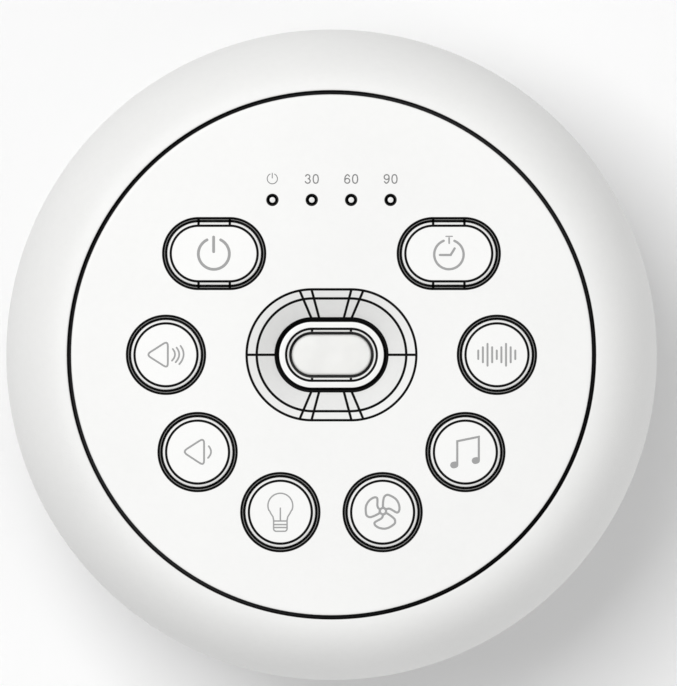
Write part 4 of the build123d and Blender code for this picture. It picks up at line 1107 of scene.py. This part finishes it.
def moulded(name, shade, rough, grain_mm, grain_depth, haze=0.06, gap=None, lines=None):
    """Moulded plastic: slow change of shade, patchy roughness, fine grain and faint handling marks.

    Gap and lines are functions that give a mask of painted shade: the gaps are painted dark, and the lines
    are scored in the skin as a bump and painted dark too. Both take the near black painted shade colour and
    are made metallic, because a metal of a dark colour has no bright gloss.
    """
    finish = Finish(name)
    drift = finish.noise(38.0, 3.0)
    specks = finish.noise(1.4, 2.0)
    darker = tuple(channel * 0.965 for channel in shade)
    tone = finish.blend(finish.ramp(drift * 0.75 + specks * 0.25, 0.35, 0.65), darker, shade)
    grain = finish.noise(grain_mm, 3.0, 0.6)
    rub = finish.noise(9.0, 4.0, 0.65, (1.0, 1.0, 0.35))
    scuff = finish.ramp(rub, 0.55, 0.72)
    normal = finish.bump(finish.noise(14.0, 1.0), 0.012, 0.35, finish.bump(grain, grain_depth, 0.5))
    roughness = finish.ramp(grain, 0.3, 0.7, rough - 0.03, rough + 0.03) + scuff * haze
    shade_mask = 0.0
    # Painted shade: below a height in a gap the colour turns to the painted shade colour
    if gap:
        shade_mask = gap(finish)
        tone = finish.blend(shade_mask, tone, PAINTED_SHADE)
    # Painted shade along scored lines, which are also a real bump in the normal
    if lines:
        scored_shade = lines(finish)
        tone = finish.blend(scored_shade, tone, PAINTED_SHADE)
        normal = finish.bump(1.0 - scored_shade, 0.03, 0.4, normal)
        roughness = roughness + scored_shade * 0.4
        shade_mask = scored_shade | shade_mask
    return finish.set(Base_Color=tone, Roughness=roughness, Metallic=shade_mask, Normal=normal, IOR=1.5)


HOUSING, PANEL, BUTTON = (0.86, 0.86, 0.85), (0.88, 0.88, 0.87), (0.90, 0.90, 0.89)
# The gap and line masks paint shade into the housing, panel, button and ring plastics.
housing_plastic = moulded("housing_plastic", HOUSING, 0.52, 0.34, 0.06, gap=housing_gap_shade)
panel_plastic = moulded("panel_plastic", PANEL, 0.42, 0.22, 0.014, gap=panel_gap_shade, lines=panel_lines)
button_plastic = moulded("button_plastic", BUTTON, 0.38, 0.18, 0.008, gap=cap_gap_shade, lines=cap_lines)
bezel_plastic = moulded("bezel_plastic", PANEL, 0.34, 0.18, 0.008, gap=bezel_gap_shade, lines=bezel_lines)
wear(shell_skin, housing_plastic)
wear(panel_skin, panel_plastic)
for cap in caps.values():
    wear(cap, button_plastic)
print("white plastics on", 2 + len(caps), "pieces")

# %% [markdown]
# ## Finishes of everything else
# The rest is dressed by kind: rubber, sheet steel, lacquered board, epoxy, pressed paper, ferrite, wound
# wire, woven cloth. Most of it is inside, but the machine can be opened, and then each part should look like
# what it is. Every finish has the grain size of the real thing, given in millimetres. Most of them differ
# only in colour, gloss and grain, so one function with those as its parameters makes them all.

# %% Rubber, paper, lacquer and the rest


def speckled(name, shade, rough, grain_mm, depth_mm, spread=0.2, metallic=0.0, haze=0.08, **more):
    """A plain finish with grain: shade and roughness follow one noise and the bump another."""
    finish = Finish(name)
    drift = finish.noise(11.0, 4.0, 0.6)
    grain = finish.noise(grain_mm, 3.0, 0.6)
    darker = tuple(channel * (1 - spread) for channel in shade)
    lighter = tuple(min(channel * (1 + spread / 2), 1.0) for channel in shade)
    tone = finish.ramp(drift * 0.6 + grain * 0.4, 0.35, 0.65)
    return finish.set(
        Base_Color=finish.blend(tone, darker, lighter),
        Roughness=finish.ramp(drift, 0.3, 0.7, rough - haze / 2, rough + haze),
        Metallic=metallic,
        Normal=finish.bump(grain, depth_mm, 0.6),
        **more,
    )

# %% [markdown]
# Screws, pins and plates are steel, turned or rolled and then plated. What tells such metal from grey
# paint is the fine rings that the tool leaves and the scratches over them. They could be an image, but a
# wave texture in rings round the upright axis gives them at any size. The coil's copper wire takes it too.

# %% Turned and plated metal


def turned_metal(name, shade, rough, pitch_mm=0.4):
    """Machined or plated steel: fine rings round the Z axis under a light scratching."""
    finish = Finish(name)
    rings = finish.node(
        "ShaderNodeTexWave",
        {"wave_type": "RINGS", "rings_direction": "Z"},
        {"Vector": finish.place, "Scale": 0.05 / (pitch_mm * MM), "Distortion": 0.6, "Detail": 2.0},
    )
    drift = finish.noise(6.0, 4.0, 0.6)
    scratch = finish.noise(0.5, 3.0, 0.7, (1.0, 0.15, 1.0))
    darker = tuple(channel * 0.72 for channel in shade)
    return finish.set(
        Base_Color=finish.blend(finish.ramp(drift, 0.35, 0.65), darker, shade),
        Metallic=1.0,
        Roughness=finish.ramp(scratch, 0.35, 0.7, rough - 0.05, rough + 0.14),
        Normal=finish.bump(rings * 0.4 + scratch * 0.6, 0.006, 0.5),
    )

# %% [markdown]
# The boards are green solder resist over etched copper. Real tracks are a drawing of their own, and all
# that can be told from it at arm's length is a net of short straight runs, so a brick texture with thin
# joints stands for them.

# %% Circuit board


def circuit_board(name):
    """Solder resist over copper: a net of straight tracks shows as a slightly lighter, raised green."""
    finish = Finish(name)
    weave = finish.node(
        "ShaderNodeTexBrick",
        {"offset": 0.5, "squash": 0.6, "squash_frequency": 3},
        {
            "Vector": finish.place,
            "Color1": colour((0, 0, 0)),
            "Color2": colour((0.35, 0.35, 0.35)),
            "Mortar": colour((1, 1, 1)),
            "Scale": 1.0,
            "Mortar Size": 0.28 * MM,
            "Mortar Smooth": 0.2,
            "Brick Width": 5.2 * MM,
            "Row Height": 1.7 * MM,
        },
    )
    tracks = finish.node("ShaderNodeSeparateColor", {}, [weave])
    drift = finish.noise(9.0, 3.0)
    green = finish.blend(finish.ramp(drift, 0.35, 0.65), (0.012, 0.10, 0.045), (0.018, 0.14, 0.06))
    return finish.set(
        Base_Color=finish.blend(tracks * 0.6, green, (0.05, 0.26, 0.11)),
        Roughness=finish.ramp(drift, 0.3, 0.7, 0.24, 0.34),
        Normal=finish.bump(tracks, 0.03, 0.7),
    )

# %% [markdown]
# The spider that centres the loudspeaker's coil is open cloth stiffened with resin. Its threads are too
# many to model, so two crossed wave textures give their colour and their height.

# %% Woven cloth


def woven(name, shade, thread_mm):
    """Open cloth stiffened with resin: two crossing sets of threads."""
    finish = Finish(name)
    threads = [
        finish.node(
            "ShaderNodeTexWave",
            {"wave_type": "BANDS", "bands_direction": way},
            {"Vector": finish.place, "Scale": 0.16 / (thread_mm * MM), "Distortion": 0.8, "Detail": 1.0},
        )
        for way in ("X", "Y")
    ]
    cloth = threads[0] * 0.5 + threads[1] * 0.5
    darker = tuple(channel * 0.5 for channel in shade)
    return finish.set(
        Base_Color=finish.blend(cloth, darker, shade),
        Roughness=finish.ramp(cloth, 0.0, 1.0, 0.92, 0.78),
        Normal=finish.bump(cloth, 0.12, 0.8),
    )

# %% [markdown]
# The lens and the windows are milky plastic. Clear glass would show the lamps behind them, so only a
# little light passes, and a fine grain on a rough surface blurs it.

# %% Frosted plastic


def frosted(name, shade, rough, weight, gap):
    """Translucent plastic: some light passes, and a fine blast of the mould blurs it."""
    finish = Finish(name)
    frost = finish.noise(0.25, 3.0, 0.7)
    cloud = finish.noise(5.0, 2.0)
    dimmer = tuple(channel * 0.95 for channel in shade)
    tone = finish.blend(finish.ramp(cloud, 0.35, 0.65), dimmer, shade)
    return finish.set(
        # Painted shade: the gap mask turns the colour to the near black painted shade colour.
        Base_Color=finish.blend(gap(finish), tone, PAINTED_SHADE),
        Roughness=finish.ramp(frost, 0.3, 0.7, rough - 0.04, rough + 0.05),
        Normal=finish.bump(frost, 0.01, 0.5),
        Transmission_Weight=weight,
        IOR=1.49,
    )

# %% One finish for each slot
DARK = (0.025, 0.025, 0.027)
finishes = {
    "white_shell": housing_plastic,
    "white_panel": panel_plastic,
    "white_button": button_plastic,
    "white_grille": moulded("grille_plastic", (0.85, 0.85, 0.84), 0.52, 0.34, 0.06),
    "bezel_plastic": bezel_plastic,
    "reflector_white": moulded("reflector_gloss", (0.92, 0.92, 0.91), 0.22, 0.5, 0.004),
    # The lens's side and the pipe's window ring are painted with shade by their masks.
    "frosted_lens": frosted("lens_frost", (0.93, 0.93, 0.91), 0.46, 0.12, lens_gap_shade),
    "clear_pipe": frosted("pipe_frost", (0.92, 0.92, 0.91), 0.30, 0.12, window_shade_ring),
    "dark_seal": speckled("seal_foam", (0.035, 0.035, 0.037), 0.85, 0.35, 0.05),
    "foot_rubber": speckled("foot_rubber", (0.045, 0.045, 0.047), 0.72, 0.5, 0.03),
    "foam": speckled("black_foam", DARK, 0.95, 0.4, 0.08),
    "surround_rubber": speckled("surround_rubber", DARK, 0.62, 0.3, 0.012),
    "chip_black": speckled("epoxy_black", DARK, 0.48, 0.16, 0.012),
    "switch_black": speckled("switch_black", (0.02, 0.02, 0.022), 0.36, 0.25, 0.008),
    "plunger_plastic": speckled("plunger_grey", (0.16, 0.16, 0.165), 0.38, 0.25, 0.006),
    "led_yellow": speckled("phosphor", (0.86, 0.70, 0.20), 0.34, 0.2, 0.01, 0.12),
    "capacitor_sleeve": speckled("capacitor_can", (0.62, 0.62, 0.63), 0.30, 0.4, 0.008, 0.12, 0.9),
    "connector_white": speckled("connector_nylon", (0.78, 0.75, 0.66), 0.42, 0.3, 0.01, 0.08),
    "baffle_plastic": speckled("baffle_grey", (0.045, 0.045, 0.048), 0.58, 0.35, 0.02),
    "basket_steel": speckled("basket_paint", DARK, 0.35, 0.6, 0.02, Coat_Weight=0.25),
    "ferrite": speckled("ferrite", (0.035, 0.035, 0.037), 0.56, 0.5, 0.05, 0.35),
    "paper_cone": speckled("pressed_paper", (0.022, 0.022, 0.024), 0.93, 0.7, 0.10, 0.4),
    "jack_black": speckled("jack_nylon", (0.018, 0.018, 0.020), 0.44, 0.25, 0.01),
    "wire_sleeve": speckled("wire_sleeve", (0.30, 0.03, 0.03), 0.42, 0.8, 0.01),
    "screw_steel": turned_metal("zinc_screw", (0.62, 0.62, 0.60), 0.30, 0.25),
    "plated_steel": turned_metal("zinc_plate", (0.58, 0.59, 0.60), 0.33),
    "pin_metal": turned_metal("nickel_pin", (0.72, 0.70, 0.66), 0.20, 0.2),
    "coil_wire": turned_metal("enamelled_copper", (0.72, 0.30, 0.14), 0.34, 0.12),
    "board_green": circuit_board("solder_resist"),
    "spider_cloth": woven("spider_cloth", (0.60, 0.40, 0.16), 0.45),
}

slot_of = {row["node"]: row["material_slot"] for row in frame["record"]["subparts"]}
for node, slot in slot_of.items():
    wear(frame["nodes"][node], finishes[slot])
wear(bezel_skin, finishes["bezel_plastic"])
wear(lens_skin, finishes["frosted_lens"])
wear(window_skin, finishes["clear_pipe"])
print("finishes", len(finishes), "nodes dressed", len(slot_of))

# %% Printing ink
ink = speckled("grey_ink", (0.34, 0.34, 0.34), 0.55, 0.12, 0.003, 0.08)
label_ink = speckled("dark_grey_ink", (0.20, 0.20, 0.20), 0.55, 0.12, 0.003, 0.08)
for symbol in inks:
    wear(symbol, ink)
for printed in labels:
    wear(printed, label_ink)
print("printed", len(inks), "symbols and", len(labels), "labels")

# %% [markdown]
# ## The studio
# The machine stands on a plain pale table under soft light. A large lamp behind on the left is the key, a
# weaker one on the right opens its shadows, and an even white sky fills the rest.

# %% Floor and light
FLOOR_SIZE, FLOOR_POINTS = 6.0, 9


def floor():
    """A pale table top: a flat square grid at the height of the machine's feet."""
    steps = np.linspace(-FLOOR_SIZE / 2, FLOOR_SIZE / 2, FLOOR_POINTS)
    x, y = np.meshgrid(steps, steps)
    grid = np.stack([x, y, np.zeros_like(x)], axis=-1)
    vertices, faces = quads(grid, loop=False)
    mesh = bpy.data.meshes.new("floor")
    mesh.from_pydata(vertices.tolist(), [], faces)
    table = bpy.data.objects.new("floor", mesh)
    bpy.context.collection.objects.link(table)
    finish = Finish("table_top")
    drift = finish.noise(300.0, 3.0)
    grain = finish.noise(1.2, 2.0)
    tone = finish.blend(finish.ramp(drift, 0.3, 0.7), (0.93, 0.93, 0.93), (0.96, 0.96, 0.96))
    wear(table, finish.set(Base_Color=tone, Roughness=finish.ramp(grain, 0.3, 0.7, 0.6, 0.7)))


def lamp(name, place, power, size, turn_to=(0.0, 0.0, 0.04)):
    """A square soft lamp that faces a point."""
    data = bpy.data.lights.new(name, "AREA")
    data.energy, data.size = power, size
    light = bpy.data.objects.new(name, data)
    light.location = place
    light.rotation_euler = (Vector(turn_to) - Vector(place)).to_track_quat("-Z", "Y").to_euler()
    bpy.context.collection.objects.link(light)


def sky(level):
    """An even white world."""
    world = bpy.data.worlds.new("sky")
    world.use_nodes = True
    background = world.node_tree.nodes["Background"]
    background.inputs["Color"].default_value = (1.0, 1.0, 1.0, 1.0)
    background.inputs["Strength"].default_value = level
    bpy.context.scene.world = world


floor()
lamp("key", (-0.34, 0.32, 1.2), 9.2, 0.65)
lamp("fill", (0.8, -0.5, 0.8), 1.7, 0.8)
sky(0.46)
bpy.context.scene.view_settings.view_transform = "Standard"
print("lights", [item.name for item in bpy.data.lights])

# %% [markdown]
# ## The end
# The last cell only prints that the dressing is done.

# %% The end
print("scene dressed")
